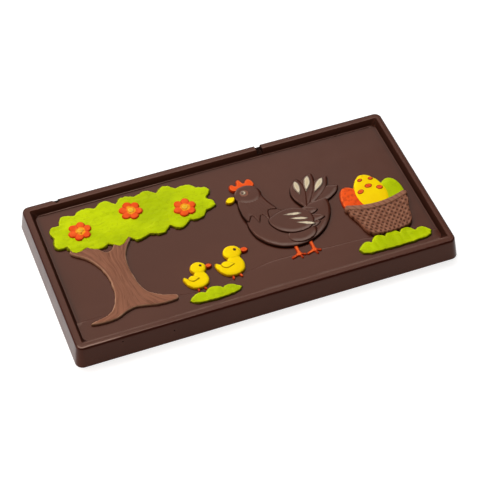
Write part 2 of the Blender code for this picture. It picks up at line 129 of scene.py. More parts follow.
def crownShape(x, y, halfLength, halfHeight, bumps, steps=30):  # boxy oval with uneven leafy bumps
    base = []
    for i in range(721):
        a = 2 * math.pi * i / 720
        c, s = math.cos(a), math.sin(a)
        base.append((
            math.copysign(abs(c) ** 0.667, c) * halfLength, math.copysign(abs(s) ** 0.667, s) * halfHeight,
        ))
    reached = [0.0]
    for a, b in zip(base, base[1:]):
        reached.append(reached[-1] + math.dist(a, b))
    points, at = [], 0
    for i in range(bumps * steps):
        share = i / (bumps * steps)
        while reached[at + 1] < share * reached[-1]:
            at += 1
        a, b = base[at], base[at + 1]
        run = math.dist(a, b)
        swell = 3.0 * (0.75 + 0.35 * math.sin(7.2 * 2 * math.pi * share + 1))
        out = swell * (abs(math.sin(math.pi * share * bumps)) - 0.6)
        points.append((x + a[0] + (b[1] - a[1]) / run * out, y + a[1] - (b[0] - a[0]) / run * out))
    return points


def grassShape(left, right, foot, height, blades):
    steps = blades * 14
    points = []
    for i in range(steps + 1):
        share = 1 - i / steps
        rise = math.sin(math.pi * (0.06 + 0.88 * share)) ** 0.5
        wave = 0.72 + 0.28 * abs(math.sin(math.pi * blades * share)) ** 0.7
        points.append((left + (right - left) * share, foot + height * rise * wave))
    middle = (left + right) / 2
    points += [(left + 1.2, foot + 0.5), (left + 4.0, foot - 0.5), (middle, foot - 0.9)]
    return points + [(right - 4.0, foot - 0.5), (right - 1.2, foot + 0.5)]


# Reading a shape: how far a point is from an outline, and whether it is inside it

def nearestOn(points, line, closed=True):
    points, line = np.asarray(points, float), np.asarray(line, float)
    ends = np.roll(line, -1, axis=0) if closed else line[1:]
    starts = line if closed else line[:-1]
    best, place = np.full(len(points), 1e9), np.zeros_like(points)
    for a, b in zip(starts, ends):
        run = b - a
        share = np.clip(((points - a) @ run) / max(run @ run, 1e-12), 0, 1)
        there = a + share[:, None] * run
        far = np.hypot(*(points - there).T)
        closer = far < best
        best[closer], place[closer] = far[closer], there[closer]
    return best, place


def distanceTo(points, line, closed=True):
    return nearestOn(points, line, closed)[0]


def insideOf(points, line):
    points, line = np.asarray(points, float), np.asarray(line, float)
    within = np.zeros(len(points), bool)
    for a, b in zip(line, np.roll(line, -1, axis=0)):
        crosses = (a[1] > points[:, 1]) != (b[1] > points[:, 1])
        with np.errstate(divide="ignore", invalid="ignore"):
            at = (b[0] - a[0]) * (points[:, 1] - a[1]) / (b[1] - a[1]) + a[0]
        within ^= crosses & (points[:, 0] < at)
    return within


def wobble(x, y, size, seed=0.0):  # smooth noise from -1 to 1, one bump about every size mm
    return np.array([noise.noise((a / size + seed, b / size - seed, seed)) for a, b in zip(x, y)])


# Making pieces

def pieceFrom(bm, name, *materials, slot="dark_chocolate", stands=(), smooth=True):
    mesh = bpy.data.meshes.new(name)
    bm.to_mesh(mesh)
    bm.free()
    piece = bpy.data.objects.new(name, mesh)
    bpy.context.scene.collection.objects.link(piece)
    for material in materials:
        mesh.materials.append(material)
    if smooth:
        mesh.shade_smooth()
    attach(piece, "root")
    if stands:
        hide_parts(*stands)
    return piece


def cutGrid(bm, faces, pitch):  # cuts flat faces into squares of about pitch
    for axis in (0, 1):
        normal = (1 - axis, axis, 0)
        places = [v.co[axis] for f in faces for v in f.verts]
        low, high = min(places), max(places)
        count = int((high - low) / pitch)
        todo, done = list(faces), []
        for i in range(1, count + 1):
            at = low + i * (high - low) / (count + 1)
            parts = dict.fromkeys(e for f in todo for e in (f, *f.edges, *f.verts))  # in a fixed order
            cut = bmesh.ops.bisect_plane(
                bm, geom=list(parts), dist=1e-8, plane_co=[at * n for n in normal], plane_no=normal
            )
            pieces = [f for f in cut["geom"] if isinstance(f, bmesh.types.BMFace)]
            todo = [f for f in pieces if f.calc_center_median()[axis] > at]
            done += [f for f in pieces if f.calc_center_median()[axis] <= at]
        faces = done + todo
    return faces


def evenly(outline, spacing):  # the same loop with points a fixed run apart
    line = np.asarray(outline + outline[:1], float)
    reached = np.concatenate(([0], np.cumsum(np.hypot(*np.diff(line, axis=0).T))))
    count = max(int(reached[-1] / spacing), 12)
    at = np.arange(count) / count * reached[-1]
    points = np.stack([np.interp(at, reached, line[:, k]) for k in (0, 1)], 1)
    turned = points[:, 0] @ np.roll(points[:, 1], -1) - points[:, 1] @ np.roll(points[:, 0], -1)
    return points if turned > 0 else points[::-1]


def handmade(points, amount, size=2.4):  # lets a border wander a little in and out
    if not amount:
        return points
    along = np.roll(points, -1, axis=0) - np.roll(points, 1, axis=0)
    outward = np.stack((along[:, 1], -along[:, 0]), 1) / np.maximum(np.hypot(*along.T), 1e-9)[:, None]
    x, y = points.T
    wander = wobble(x, y, size, 5.5) + 0.45 * wobble(x, y, size * 0.36, 9.1)
    return points + outward * (amount * wander)[:, None]


def inwardRooms(points, reach):  # unit vectors inward, and how far each may go before it meets another
    along = np.roll(points, -1, axis=0) - np.roll(points, 1, axis=0)
    inward = np.stack((-along[:, 1], along[:, 0]), 1)
    inward /= np.maximum(np.hypot(*inward.T), 1e-9)[:, None]
    room = np.full(len(points), 0.02)
    free = np.ones(len(points), bool)
    for step in range(1, 17):
        go = reach * step / 16
        there = points + inward * go
        free &= (distanceTo(there, points) > go * 0.94) & insideOf(there, points)
        room[free] = go
    for _ in range(3):
        room = np.minimum(room, (np.roll(room, 1) + room + np.roll(room, -1)) / 3 + 0.04)
    return inward, room


# A raised plate with a rounded edge. shape holds foot and top (mm above the back), edge (width of the
# rounding), skirt (share of the height that is upright at the edge) and pitch (mesh size)
def plateMesh(outline, shape, surface=None):
    points = evenly(outline, min(shape["pitch"], 0.4))
    points = handmade(points, shape.get("wander", 0.0), shape.get("bumps", 2.4))
    inward, room = inwardRooms(points, shape["edge"])
    bm = bmesh.new()
    ring = [bm.verts.new((x * mm, y * mm, 0)) for x, y in points]
    face = bm.faces.new(ring)
    face.normal_update()
    numbers = {vert: number for number, vert in enumerate(ring)}
    steps = shape.get("rings", 4)
    for i in range(1, steps + 1):  # rings that follow the border, closer together near it
        share = 1 - math.cos(math.pi / 2 * i / steps)
        bmesh.ops.inset_region(bm, faces=[face], thickness=1e-6, use_boundary=True)
        moved = {}
        for vert in face.verts:
            old = next(e.other_vert(vert) for e in vert.link_edges if e.other_vert(vert) in numbers)
            moved[vert] = numbers[old]
        for vert, number in moved.items():
            x, y = points[number] + inward[number] * room[number] * 0.9 * share
            vert.co = (x * mm, y * mm, 0)
        numbers = moved
        face.normal_update()
    cutGrid(bm, [face], shape["pitch"] * mm)
    rim = [e for e in bm.edges if e.is_boundary]
    top = list(bm.verts)
    spread = np.array([(v.co.x, v.co.y) for v in top]) / mm
    deep = distanceTo(spread, points)
    height = shape["top"] - panelZ
    start = height * shape.get("skirt", 0.35)
    share = np.clip(deep / shape["edge"], 0, 1)
    z = start + (height - start) * np.sqrt(1 - (1 - share) ** 2)
    if surface:
        z = z + surface(spread[:, 0], spread[:, 1], deep) * share
    for vert, rise in zip(top, z):
        vert.co.z = (panelZ + rise) * mm
    skirt = bmesh.ops.extrude_edge_only(bm, edges=rim)["geom"]
    for vert in skirt:
        if isinstance(vert, bmesh.types.BMVert):
            vert.co.z = shape["foot"] * mm
    bottom = [e for e in skirt if isinstance(e, bmesh.types.BMEdge) and e.is_boundary]
    bmesh.ops.edgeloop_fill(bm, edges=bottom)
    bmesh.ops.recalc_face_normals(bm, faces=bm.faces)
    return bm


def addAttribute(piece, name, values):
    attribute = piece.data.attributes.new(name, "FLOAT", "POINT")
    attribute.data.foreach_set("value", np.asarray(values, np.float32))


def flatPlaces(piece):
    places = np.array([v.co[:] for v in piece.data.vertices]) / mm
    return places[:, 0], places[:, 1], places[:, 2]


def plate(name, outline, shape, material, slot, stands=(), surface=None):
    piece = pieceFrom(plateMesh(outline, shape, surface), name, material, slot=slot, stands=stands)
    x, y, z = flatPlaces(piece)
    away, place = nearestOn(np.stack((x, y), 1), outline)
    addAttribute(piece, "fromEdge", away)
    facing = (place[:, 1] - y) / np.maximum(away, 0.05)  # 1 at far borders, -1 at near ones
    addAttribute(piece, "facing", facing)
    return piece


# Materials

def srgb(r, g, b):
    return tuple(((c / 255 + 0.055) / 1.055) ** 2.4 if c > 10 else c / 3294 for c in (r, g, b)) + (1.0,)


class Look:  # a small helper that wires one Principled material
    def __init__(self, name, roughness, **sockets):
        self.material = bpy.data.materials.new(name)
        self.material.use_nodes = True
        self.tree = self.material.node_tree
        self.shader = self.tree.nodes["Principled BSDF"]
        self.shader.inputs["Roughness"].default_value = roughness
        for socket, value in sockets.items():
            self.shader.inputs[socket.replace("_", " ")].default_value = value
        self.coords = self.tree.nodes.new("ShaderNodeTexCoord").outputs["Object"]

    def node(self, kind, **settings):
        made = self.tree.nodes.new("ShaderNode" + kind)
        for key, value in settings.items():
            if key[0].isupper():
                self.put(made.inputs[key.replace("_", " ")], value)
            else:
                setattr(made, key, value)
        return made

    def put(self, socket, value):
        if isinstance(value, bpy.types.NodeSocket):
            self.tree.links.new(value, socket)
        else:
            socket.default_value = value

    def noise(self, scale, detail=3.0, stretch=(1, 1, 1), turn=0.0, distortion=0.0):
        mapping = self.node("Mapping", Vector=self.coords, Scale=stretch, Rotation=(0, 0, turn))
        made = self.node(
            "TexNoise", Vector=mapping.outputs[0], Scale=scale, Detail=detail, Distortion=distortion
        )
        return made.outputs["Fac"]

    def ramp(self, value, low, high, toLow=0.0, toHigh=1.0):
        made = self.node("MapRange", interpolation_type="SMOOTHSTEP")
        self.put(made.inputs["Value"], value)
        for key, number in (("From Min", low), ("From Max", high), ("To Min", toLow), ("To Max", toHigh)):
            made.inputs[key].default_value = number
        return made.outputs["Result"]

    def maths(self, operation, a, b):
        made = self.tree.nodes.new("ShaderNodeMath")
        made.operation = operation
        self.put(made.inputs[0], a)
        self.put(made.inputs[1], b)
        return made.outputs[0]

    def times(self, a, b):
        return self.maths("MULTIPLY", a, b)

    def plus(self, a, b):
        return self.maths("ADD", a, b)

    def mix(self, share, a, b):
        made = self.tree.nodes.new("ShaderNodeMix")
        made.data_type = "RGBA"
        for index, value in ((0, share), (6, a), (7, b)):
            self.put(made.inputs[index], value)
        return made.outputs[2]

    def attribute(self, name):
        return self.node("Attribute", attribute_name=name).outputs["Fac"]

    def colour(self, value):
        self.put(self.shader.inputs["Base Color"], value)

    def roughen(self, value):
        self.put(self.shader.inputs["Roughness"], value)

    def bump(self, height, strength, distance):
        previous = self.shader.inputs["Normal"]
        made = self.node("Bump", Height=height, Strength=strength, Distance=distance)
        if previous.is_linked:
            self.tree.links.new(previous.links[0].from_socket, made.inputs["Normal"])
        self.tree.links.new(made.outputs[0], previous)


# Dark chocolate tones. base, deep and pale are its own tones, varied at random, and broken and inside are those
# of a break. wall and outer are painted shade, the pale tone after outer is a painted highlight and the next a
# painted reflection; wallMouth and wallFoot are the inner wall's painted shade.
darkTones = {
    "base": (0.058, 0.0130, 0.0058), "deep": (0.050, 0.0108, 0.0048), "pale": (0.070, 0.0195, 0.0110),
    "wall": (0.012, 0.0030, 0.0018), "outer": (0.034, 0.0050, 0.0026), "paintedHighlight": (0.230, 0.145, 0.115),
    "paintedReflection": (0.160, 0.112, 0.095), "broken": (0.070, 0.034, 0.022), "inside": (0.010, 0.0026, 0.0015),
    "wallMouth": (0.078, 0.026, 0.0157), "wallFoot": (0.0155, 0.0046, 0.0025),
}
darkTint = (1.0, 0.65, 0.50, 1.0)


def dark(tone):
    return (*darkTones[tone], 1.0)


# edges adds the bar's painted shade and highlights; lobes is how strong the painted shade along a piece's
# border is, line how strong its painted highlight line is
def darkChocolate(name, edges=False, lobes=0.0, line=0.7):
    look = Look(name, 0.3, Specular_IOR_Level=0.2, Specular_Tint=darkTint)
    cloudy = look.noise(38, 3.0, turn=0.4)
    streaks = look.noise(60, 3.0, stretch=(0.5, 1.8, 1), turn=0.9)
    tone = look.mix(look.ramp(cloudy, 0.3, 0.72), dark("deep"), dark("base"))
    tone = look.mix(look.ramp(streaks, 0.55, 0.8, 0.0, 0.18), tone, dark("pale"))
    rough = look.ramp(look.noise(160, 3.0, turn=0.9), 0.25, 0.8, 0.2, 0.27)
    if edges:  # painted shade on the outer edge and at the deep inner wall's foot, painted highlights on the inner edge, the near corner and the foot
        broken = look.ramp(look.noise(130, 4.0), 0.30, 0.62, 0.45, 1.0)
        # painted shade: the wall's foot and the outer edge darkened
        for mark, shade, most in (("shadeFoot", "wall", 0.85), ("shadeOuter", "outer", 0.8)):
            share = look.times(look.attribute(mark), most)
            tone = look.mix(share, tone, dark(shade))
        # painted highlights, broken up in patches
        paintedHighlight = look.times(look.times(look.attribute("paintedHighlightShare"), broken), 0.8)
        tone = look.mix(paintedHighlight, tone, dark("paintedHighlight"))
    if lobes:  # painted shade along the border, a pale painted reflection inside near borders, a fine painted highlight inside far ones
        near = look.plus(look.attribute("fromEdge"), look.ramp(look.noise(260, 3.0), 0.3, 0.7, -0.1, 0.1))
        facing = look.attribute("facing")
        patches = look.ramp(look.noise(48, 2.0), 0.40, 0.58)
        # painted reflection: pale, on borders that face the near side, in patches
        paintedReflection = look.times(look.ramp(near, 0.35, 0.62), look.ramp(near, 2.3, 0.6))
        paintedReflection = look.times(look.times(paintedReflection, look.ramp(facing, -0.35, -0.95)), patches)
        tone = look.mix(look.times(paintedReflection, 0.75), tone, dark("paintedReflection"))
        # painted highlight: a fine pale line inside borders that face the far side
        fine = look.times(look.ramp(near, 0.28, 0.42), look.ramp(near, 0.8, 0.45))
        fine = look.times(look.times(fine, look.ramp(facing, 0.1, 0.7)), patches)
        tone = look.mix(look.times(fine, line), tone, dark("paintedHighlight"))
        # painted shade: a dark line along the border
        crease = look.ramp(near, 0.40, 0.14)
        tone = look.mix(look.times(crease, lobes), tone, dark("wall"))
        rough = look.plus(rough, look.times(crease, 0.5))
    look.colour(tone)
    look.roughen(rough)
    look.bump(look.noise(300, 3.0), 0.05, 0.0002)
    look.bump(look.noise(1500, 2.0), 0.03, 0.0001)
    look.bump(look.noise(500, 2.0, stretch=(1, 1, 0.03)), 0.02, 0.0002)
    return look.material


def wallChocolate():  # the rim's inner wall, with painted shade that deepens towards its foot
    look = Look("wallChocolate", 0.4, Specular_IOR_Level=0.05, Specular_Tint=darkTint)
    look.colour(look.mix(look.attribute("downWall"), dark("wallMouth"), dark("wallFoot")))
    look.bump(look.noise(300, 3.0), 0.05, 0.0002)
    return look.material


def brokenChocolate():
    look = Look("brokenChocolate", 0.7, Specular_IOR_Level=0.04, Specular_Tint=darkTint)
    grit = look.noise(1300, 5.0)
    look.colour(look.mix(look.ramp(grit, 0.55, 0.75), dark("inside"), dark("broken")))
    look.bump(grit, 0.5, 0.0004)
    return look.material


# Colours below are the ones seen in the studio light; lit() turns one into what the surface itself has
studioGain = 1.2


def lit(r, g, b):
    return tuple(c / studioGain for c in srgb(r, g, b)[:3]) + (1.0,)


# base, deep and pale are mixed over the piece, edge is the tone of its stains and of its border, which is
# partly a painted shadow line and partly the thin colour over dark chocolate, pale also makes a fringe that is
# partly a painted highlight, marks is how clear the strokes are
def colouredChocolate(name, base, deep, pale, edge, tint, marks=0.5, grainScale=300, leaves=0.0):
    roughness = 0.42
    look = Look(name, roughness, Specular_IOR_Level=0.07, Specular_Tint=(*tint, 1.0))
    patch = look.noise(70, 3.0)
    tone = look.mix(look.ramp(patch, 0.35, 0.7), lit(*deep), lit(*base))
    strokes = look.noise(grainScale, 3.0, stretch=(0.5, 1.4, 1), turn=0.6, distortion=0.8)
    tone = look.mix(look.ramp(strokes, 0.60, 0.74, 0.0, marks), tone, lit(*deep))
    tone = look.mix(look.ramp(strokes, 0.36, 0.25, 0.0, marks * 0.7), tone, lit(*pale))
    short = look.noise(grainScale * 1.9, 2.0, stretch=(0.45, 1.5, 1), turn=-0.5, distortion=1.2)
    tone = look.mix(look.ramp(short, 0.62, 0.72, 0.0, marks * 0.9), tone, lit(*deep))
    if leaves:  # short strokes along the outlines of small leaves
        mapping = look.node("Mapping", Vector=look.coords, Scale=(1.0, 0.75, 1.0), Rotation=(0, 0, 0.5))
        outline = look.node("TexVoronoi", feature="DISTANCE_TO_EDGE", Vector=mapping.outputs[0], Scale=520.0)
        broken = look.ramp(short, 0.47, 0.56)
        outline = look.times(look.ramp(outline.outputs["Distance"], 0.09, 0.02), broken)
        tone = look.mix(look.times(outline, leaves), tone, lit(*edge))
    ragged = look.noise(600, 3.0)
    near = look.plus(look.attribute("fromEdge"), look.times(ragged, -0.9))
    # pale fringe inside the border, partly a painted highlight
    fringe = look.ramp(near, 0.55, 0.18, 0.0, 0.45)
    tone = look.mix(fringe, tone, lit(*pale))
    # dark border, partly a painted shadow line and partly the thin colour over the dark chocolate
    tone = look.mix(look.ramp(near, 0.06, -0.2, 0.0, 0.9), tone, lit(*edge))
    stain = look.times(look.ramp(look.noise(34, 2.0), 0.66, 0.74), look.ramp(ragged, 0.45, 0.7))
    tone = look.mix(look.times(stain, 0.5), tone, lit(*edge))
    look.colour(tone)
    look.roughen(look.ramp(strokes, 0.3, 0.7, roughness - 0.06, roughness + 0.1))
    look.bump(look.noise(500, 3.0), 0.16, 0.0003)
    look.bump(strokes, 0.12, 0.0004)
    return look.material


groundLook = darkChocolate("groundChocolate", lobes=0.1, line=0.3)
barLook = darkChocolate("barChocolate", edges=True)
lobeLook = darkChocolate("lobeChocolate", lobes=0.95)
wallLook, brokenLook = wallChocolate(), brokenChocolate()
limeLook = colouredChocolate("limeChocolate", (208, 230, 0), (180, 203, 0), (222, 238, 30), (104, 104, 16),
                             (0.85, 1.0, 0.06), marks=0.7, grainScale=230, leaves=0.17)
orangeLook = colouredChocolate("orangeChocolate", (250, 92, 26), (240, 76, 16), (255, 126, 60), (168, 44, 12),
                               (1.0, 0.5, 0.3), marks=0.25)
yellowLook = colouredChocolate("yellowChocolate", (268, 240, 0), (260, 220, 0), (268, 244, 30), (200, 146, 10),
                               (1.0, 0.9, 0.06), marks=0.25)
ivoryLook = colouredChocolate("ivoryChocolate", (229, 213, 175), (207, 192, 156), (240, 230, 206),
                              (128, 110, 98), (1.0, 0.95, 0.85), marks=0.4)
milkLook = colouredChocolate("milkChocolate", (139, 90, 69), (116, 71, 53), (156, 106, 84), (92, 54, 42),
                             (1.0, 0.8, 0.7))
print("materials made")


# The bar

bar = {
    "halfLength": 79.95, "halfWidth": 39.95, "height": 9.6, "draft": 1.6, "cornerRadius": 3.2, "rimRadius": 2.8,
    "rimWidth": 3.1, "rimSlope": 1.4, "mouthRadius": 0.6, "panelRadius": 0.2,
    "backRounding": 0.35, "outerRounding": 0.95, "innerRounding": 0.3, "panelFillet": 0.25, "crownDrop": 0.13,
    "cornerSteps": 10, "pitch": 5.0, "cutMargin": 6.0, "waviness": 0.035, "ripple": (17.0, 17.0, 9.0),
    # inset of the wall's top, of the rim's inner edge and of the panel on each side
    "near": (1.6, 4.7, 6.1), "left": (1.2, 3.95, 5.3), "far": (1.15, 4.0, 5.4), "right": (1.3, 3.75, 5.1),
    # height of the ledge at the far wall's foot, its steps (run, share of the height), and the wall's depth
    "ledge": 0.13, "wallDepth": 2.2,
    "ledgeSteps": ((0.15, 1), (0.34, 1), (0.44, 0.85), (0.62, 0.15), (0.72, 0), (1.1, 0), (2.0, 0)),
    # bands of painted shade and painted highlight, as insets on the near side: where each starts, is clearest
    # and ends
    "bands": {
        "outer": (1.2, 1.9, 2.8), "outerLeft": (0.6, 1.7, 3.2), "crest": (2.0, 2.4, 2.8),
        "mouthNear": (3.9, 4.45, 5.0), "mouthFar": (3.6, 4.5, 4.8), "ledge": (6.1, 6.35, 6.6),
        "foot": (6.5, 6.75, 7.2), "footWide": (6.5, 6.8, 8.6),
    },
    # insets of the faces with the wall's painted-shade material, and of the run over which that painted shade
    # deepens
    "wallFaces": (4.72, 6.15), "ledgeFaces": (6.6, 6.95), "wallRun": (4.8, 1.3),
    # how dark the inner wall is at its mouth and foot, by how each side is lit
    "wallShades": {"far": (0.0, 0.69), "right": (0.74, 1.0), "others": (0.5, 0.91)},
}


def onSide(inset, side, back=False):  # takes an inset of the near side to another side, or back
    beyond = 80  # past the middle of the bar
    near, own = (0, *bar["near"], beyond), (0, *bar[side], beyond + bar[side][2] - bar["near"][2])
    return np.interp(inset, own, near) if back else np.interp(inset, near, own)


def barStations():  # the bar's section from its back to its panel: inset from the outline, height
    lean = bar["draft"] / bar["height"]
    stretch = math.hypot(1, lean)
    r = bar["backRounding"]
    stations = []
    for i in range(5):
        a = math.radians(90 * i / 4)
        stations.append((r - r * math.sin(a) + lean * r, r - r * math.cos(a)))
    stations.append((lean * 0.6, 0.6))
    r = bar["outerRounding"]
    z = bar["height"] - r
    centre = lean * z + r * stretch
    stations.append((lean * (z - 0.4), z - 0.4))
    for i in range(8):
        a = math.atan(lean) + (math.pi / 2 - math.atan(lean)) * i / 7
        stations.append((centre - r * math.cos(a), z + r * math.sin(a)))
    crownFrom = centre
    base = panelZ + bar["ledge"]
    down = bar["height"] - base
    slope = math.hypot(down, bar["rimSlope"])
    across, up = down / slope, bar["rimSlope"] / slope
    mouth = bar["draft"] + bar["rimWidth"]
    r = bar["innerRounding"]
    centre = mouth + (-r + up * r) / across
    tilt = math.atan2(up, across)
    for i in range(1, 6):  # slightly crowned rim top
        share = i / 6
        drop = bar["crownDrop"] * (2 * share - 1) ** 2
        stations.append((crownFrom + (centre - crownFrom) * share, bar["height"] - drop))
    for i in range(5):
        a = math.pi / 2 + (tilt - math.pi / 2) * i / 4
        stations.append((centre + r * math.cos(a), bar["height"] - r + r * math.sin(a)))
    r = bar["panelFillet"]
    centre = mouth + (r + up * (down - r)) / across
    for i in range(6):
        a = tilt + (math.pi / 2 - tilt) * i / 5
        stations.append((centre - r * math.cos(a), base + r - r * math.sin(a)))
    return stations + [(centre + run, panelZ + bar["ledge"] * share) for run, share in bar["ledgeSteps"]]


def barRing(inset, z):  # the places of one loop round the bar
    mouth = bar["draft"] + bar["rimWidth"]
    if z < bar["height"] - bar["outerRounding"]:
        radius = bar["cornerRadius"] + (bar["rimRadius"] - bar["cornerRadius"]) * z / bar["height"]
    elif inset <= mouth:
        radius = max(bar["rimRadius"] + bar["draft"] - inset, bar["mouthRadius"])
    else:
        share = min((inset - mouth) / bar["rimSlope"], 1.0)
        radius = bar["mouthRadius"] + share * (bar["panelRadius"] - bar["mouthRadius"])
    places = []
    for signX, signY, first in ((1, 1, 0), (-1, 1, 90), (-1, -1, 180), (1, -1, 270)):
        middleX = bar["halfLength"] - radius - onSide(inset, "right" if signX > 0 else "left")
        middleY = bar["halfWidth"] - radius - onSide(inset, "far" if signY > 0 else "near")
        for step in range(bar["cornerSteps"]):
            a = math.radians(first + 90 * step / (bar["cornerSteps"] - 1))
            x = signX * middleX + radius * math.cos(a)
            y = signY * middleY + radius * math.sin(a)
            level = z
            if inset > mouth:  # the ledge stays on the far side alone
                offFar = min(max(2 - 2 * math.sin(a), 0), 1)
                level -= bar["ledge"] * min((bar["height"] - z) / bar["wallDepth"], 1) * offFar
                level = max(level, panelZ)
            places.append(Vector((x * mm, y * mm, level * mm)))
    return places


def makeBar():
    bm = bmesh.new()
    ring = bmesh.ops.create_circle(bm, cap_ends=False, radius=1.0, segments=4 * bar["cornerSteps"])["verts"]
    numbers = {vert: number for number, vert in enumerate(ring)}
    edges = bm.edges[:]
    back = edges
    for level, (inset, z) in enumerate(barStations()):
        if level:
            made = bmesh.ops.extrude_edge_only(bm, edges=edges)["geom"]
            moved = {}
            for vert in made:
                if isinstance(vert, bmesh.types.BMVert):
                    old = next(e.other_vert(vert) for e in vert.link_edges if e.other_vert(vert) in numbers)
                    moved[vert] = numbers[old]
            numbers = moved
            made = [e for e in made if isinstance(e, bmesh.types.BMEdge)]
            edges = [e for e in made if all(v in numbers for v in e.verts)]
        places = barRing(inset, z)
        for vert, number in numbers.items():
            vert.co = places[number]
    bmesh.ops.edgeloop_fill(bm, edges=back)
    bmesh.ops.edgeloop_fill(bm, edges=edges)
    bmesh.ops.recalc_face_normals(bm, faces=bm.faces)
    for axis, half in ((0, bar["halfLength"]), (1, bar["halfWidth"])):
        reach = half - bar["cutMargin"]
        count = int(reach * 2 / bar["pitch"])
        for i in range(count + 1):
            at = (-reach + reach * 2 * i / count) * mm
            normal = (1 - axis, axis, 0)
            bmesh.ops.bisect_plane(
                bm, geom=bm.verts[:] + bm.edges[:] + bm.faces[:], dist=1e-7,
                plane_co=[at * n for n in normal], plane_no=normal,
            )
    for vert in bm.verts:
        x, y, z = vert.co / mm
        if z < 0.05:
            continue
        ripple = Vector(noise.noise_vector([c / size for c, size in zip((x, y, z), bar["ripple"])]))
        ripple *= bar["waviness"]
        if z > 9.55:
            ripple.z = -abs(ripple.z)
        outside = max(abs(x) - bar["halfLength"] + 2, abs(y) - bar["halfWidth"] + 2, 0)
        if outside:
            ripple.x, ripple.y = -abs(ripple.x) * np.sign(x), -abs(ripple.y) * np.sign(y)
        vert.co += ripple * mm
    return pieceFrom(bm, "barBody", barLook, wallLook, brokenLook, slot="dark_chocolate", stands=("bar",))


# Chips and pits: middle, size, turn about Z, and how rough the break is
chips = {
    "rimNotch": ((23.15, 36.8, 9.7), (2.7, 5.8, 3.7), 3.0, 0.16),
    "rimNick": ((-64.4, 38.4, 9.75), (2.2, 3.2, 2.5), 32.0, 0.18),
    "sideNick": ((78.75, 25.8, 9.5), (1.1, 1.4, 1.3), 10.0, 0.1),
    "cornerChip": ((75.2, 34.9, 9.7), (0.9, 0.8, 0.5), 40.0, 0.1),
    "pitOne": ((-61.0, -38.75, 7.6), (0.55, 0.5, 0.5), 0.0, 0.05),
    "pitTwo": ((-40.5, -39.05, 5.6), (0.5, 0.5, 0.45), 0.0, 0.05),
}


def chipAway(piece):
    cutters = bpy.data.collections.new("chipCutters")
    bpy.context.scene.collection.children.link(cutters)
    for name, (middle, size, turn, rough) in chips.items():
        bm = bmesh.new()
        bmesh.ops.create_cube(bm, size=1.0)
        bmesh.ops.bevel(
            bm, geom=bm.edges[:], offset=0.12, segments=2, profile=0.5, affect="EDGES", material=-1
        )
        bmesh.ops.subdivide_edges(bm, edges=bm.edges[:], cuts=3, use_grid_fill=True)
        for vert in bm.verts:
            vert.co = Vector([c * s for c, s in zip(vert.co, size)])
            shake = Vector(noise.noise_vector(vert.co * 1.7 + Vector(middle)))
            shake += 0.5 * Vector(noise.noise_vector(vert.co * 4.0 + Vector(middle)))
            vert.co += shake * rough
        place = Matrix.Translation(Vector(middle) * mm) @ Matrix.Rotation(math.radians(turn), 4, "Z")
        bmesh.ops.transform(bm, matrix=place @ Matrix.Scale(mm, 4), verts=bm.verts)
        mesh = bpy.data.meshes.new(name)
        bm.to_mesh(mesh)
        bm.free()
        mesh.materials.append(brokenLook)
        cutters.objects.link(bpy.data.objects.new(name, mesh))
    cut = piece.modifiers.new("chips", "BOOLEAN")
    cut.operation = "DIFFERENCE"
    cut.operand_type = "COLLECTION"
    cut.collection = cutters
    cut.solver = "EXACT"
    cut.material_mode = "TRANSFER"
    bpy.context.view_layer.update()
    graph = bpy.context.evaluated_depsgraph_get()
    mesh = bpy.data.meshes.new_from_object(piece.evaluated_get(graph))
    piece.modifiers.clear()
    piece.data = mesh
    for cutter in list(cutters.objects):
        bpy.data.objects.remove(cutter, do_unlink=True)
    bpy.data.collections.remove(cutters)
    mesh.shade_smooth()
    mesh.set_sharp_from_angle(angle=math.radians(38))


def hump(value, low, peak, high):  # 0 outside low and high, 1 at the peak
    return np.clip(np.minimum((value - low) / (peak - low), (high - value) / (high - peak)), 0, 1)


def barInset(x, y):  # how far in from the outline, as on the near side, and how clearly on a long side
    r = bar["rimRadius"] + bar["draft"]
    ends, edges = bar["halfLength"] - np.abs(x), bar["halfWidth"] - np.abs(y)
    outX = r - np.where(x > 0, onSide(ends, "right", True), onSide(ends, "left", True))
    outY = r - np.where(y > 0, onSide(edges, "far", True), onSide(edges, "near", True))
    inset = r - np.hypot(np.maximum(outX, 0), np.maximum(outY, 0)) - np.minimum(np.maximum(outX, outY), 0)
    return inset, outY - outX


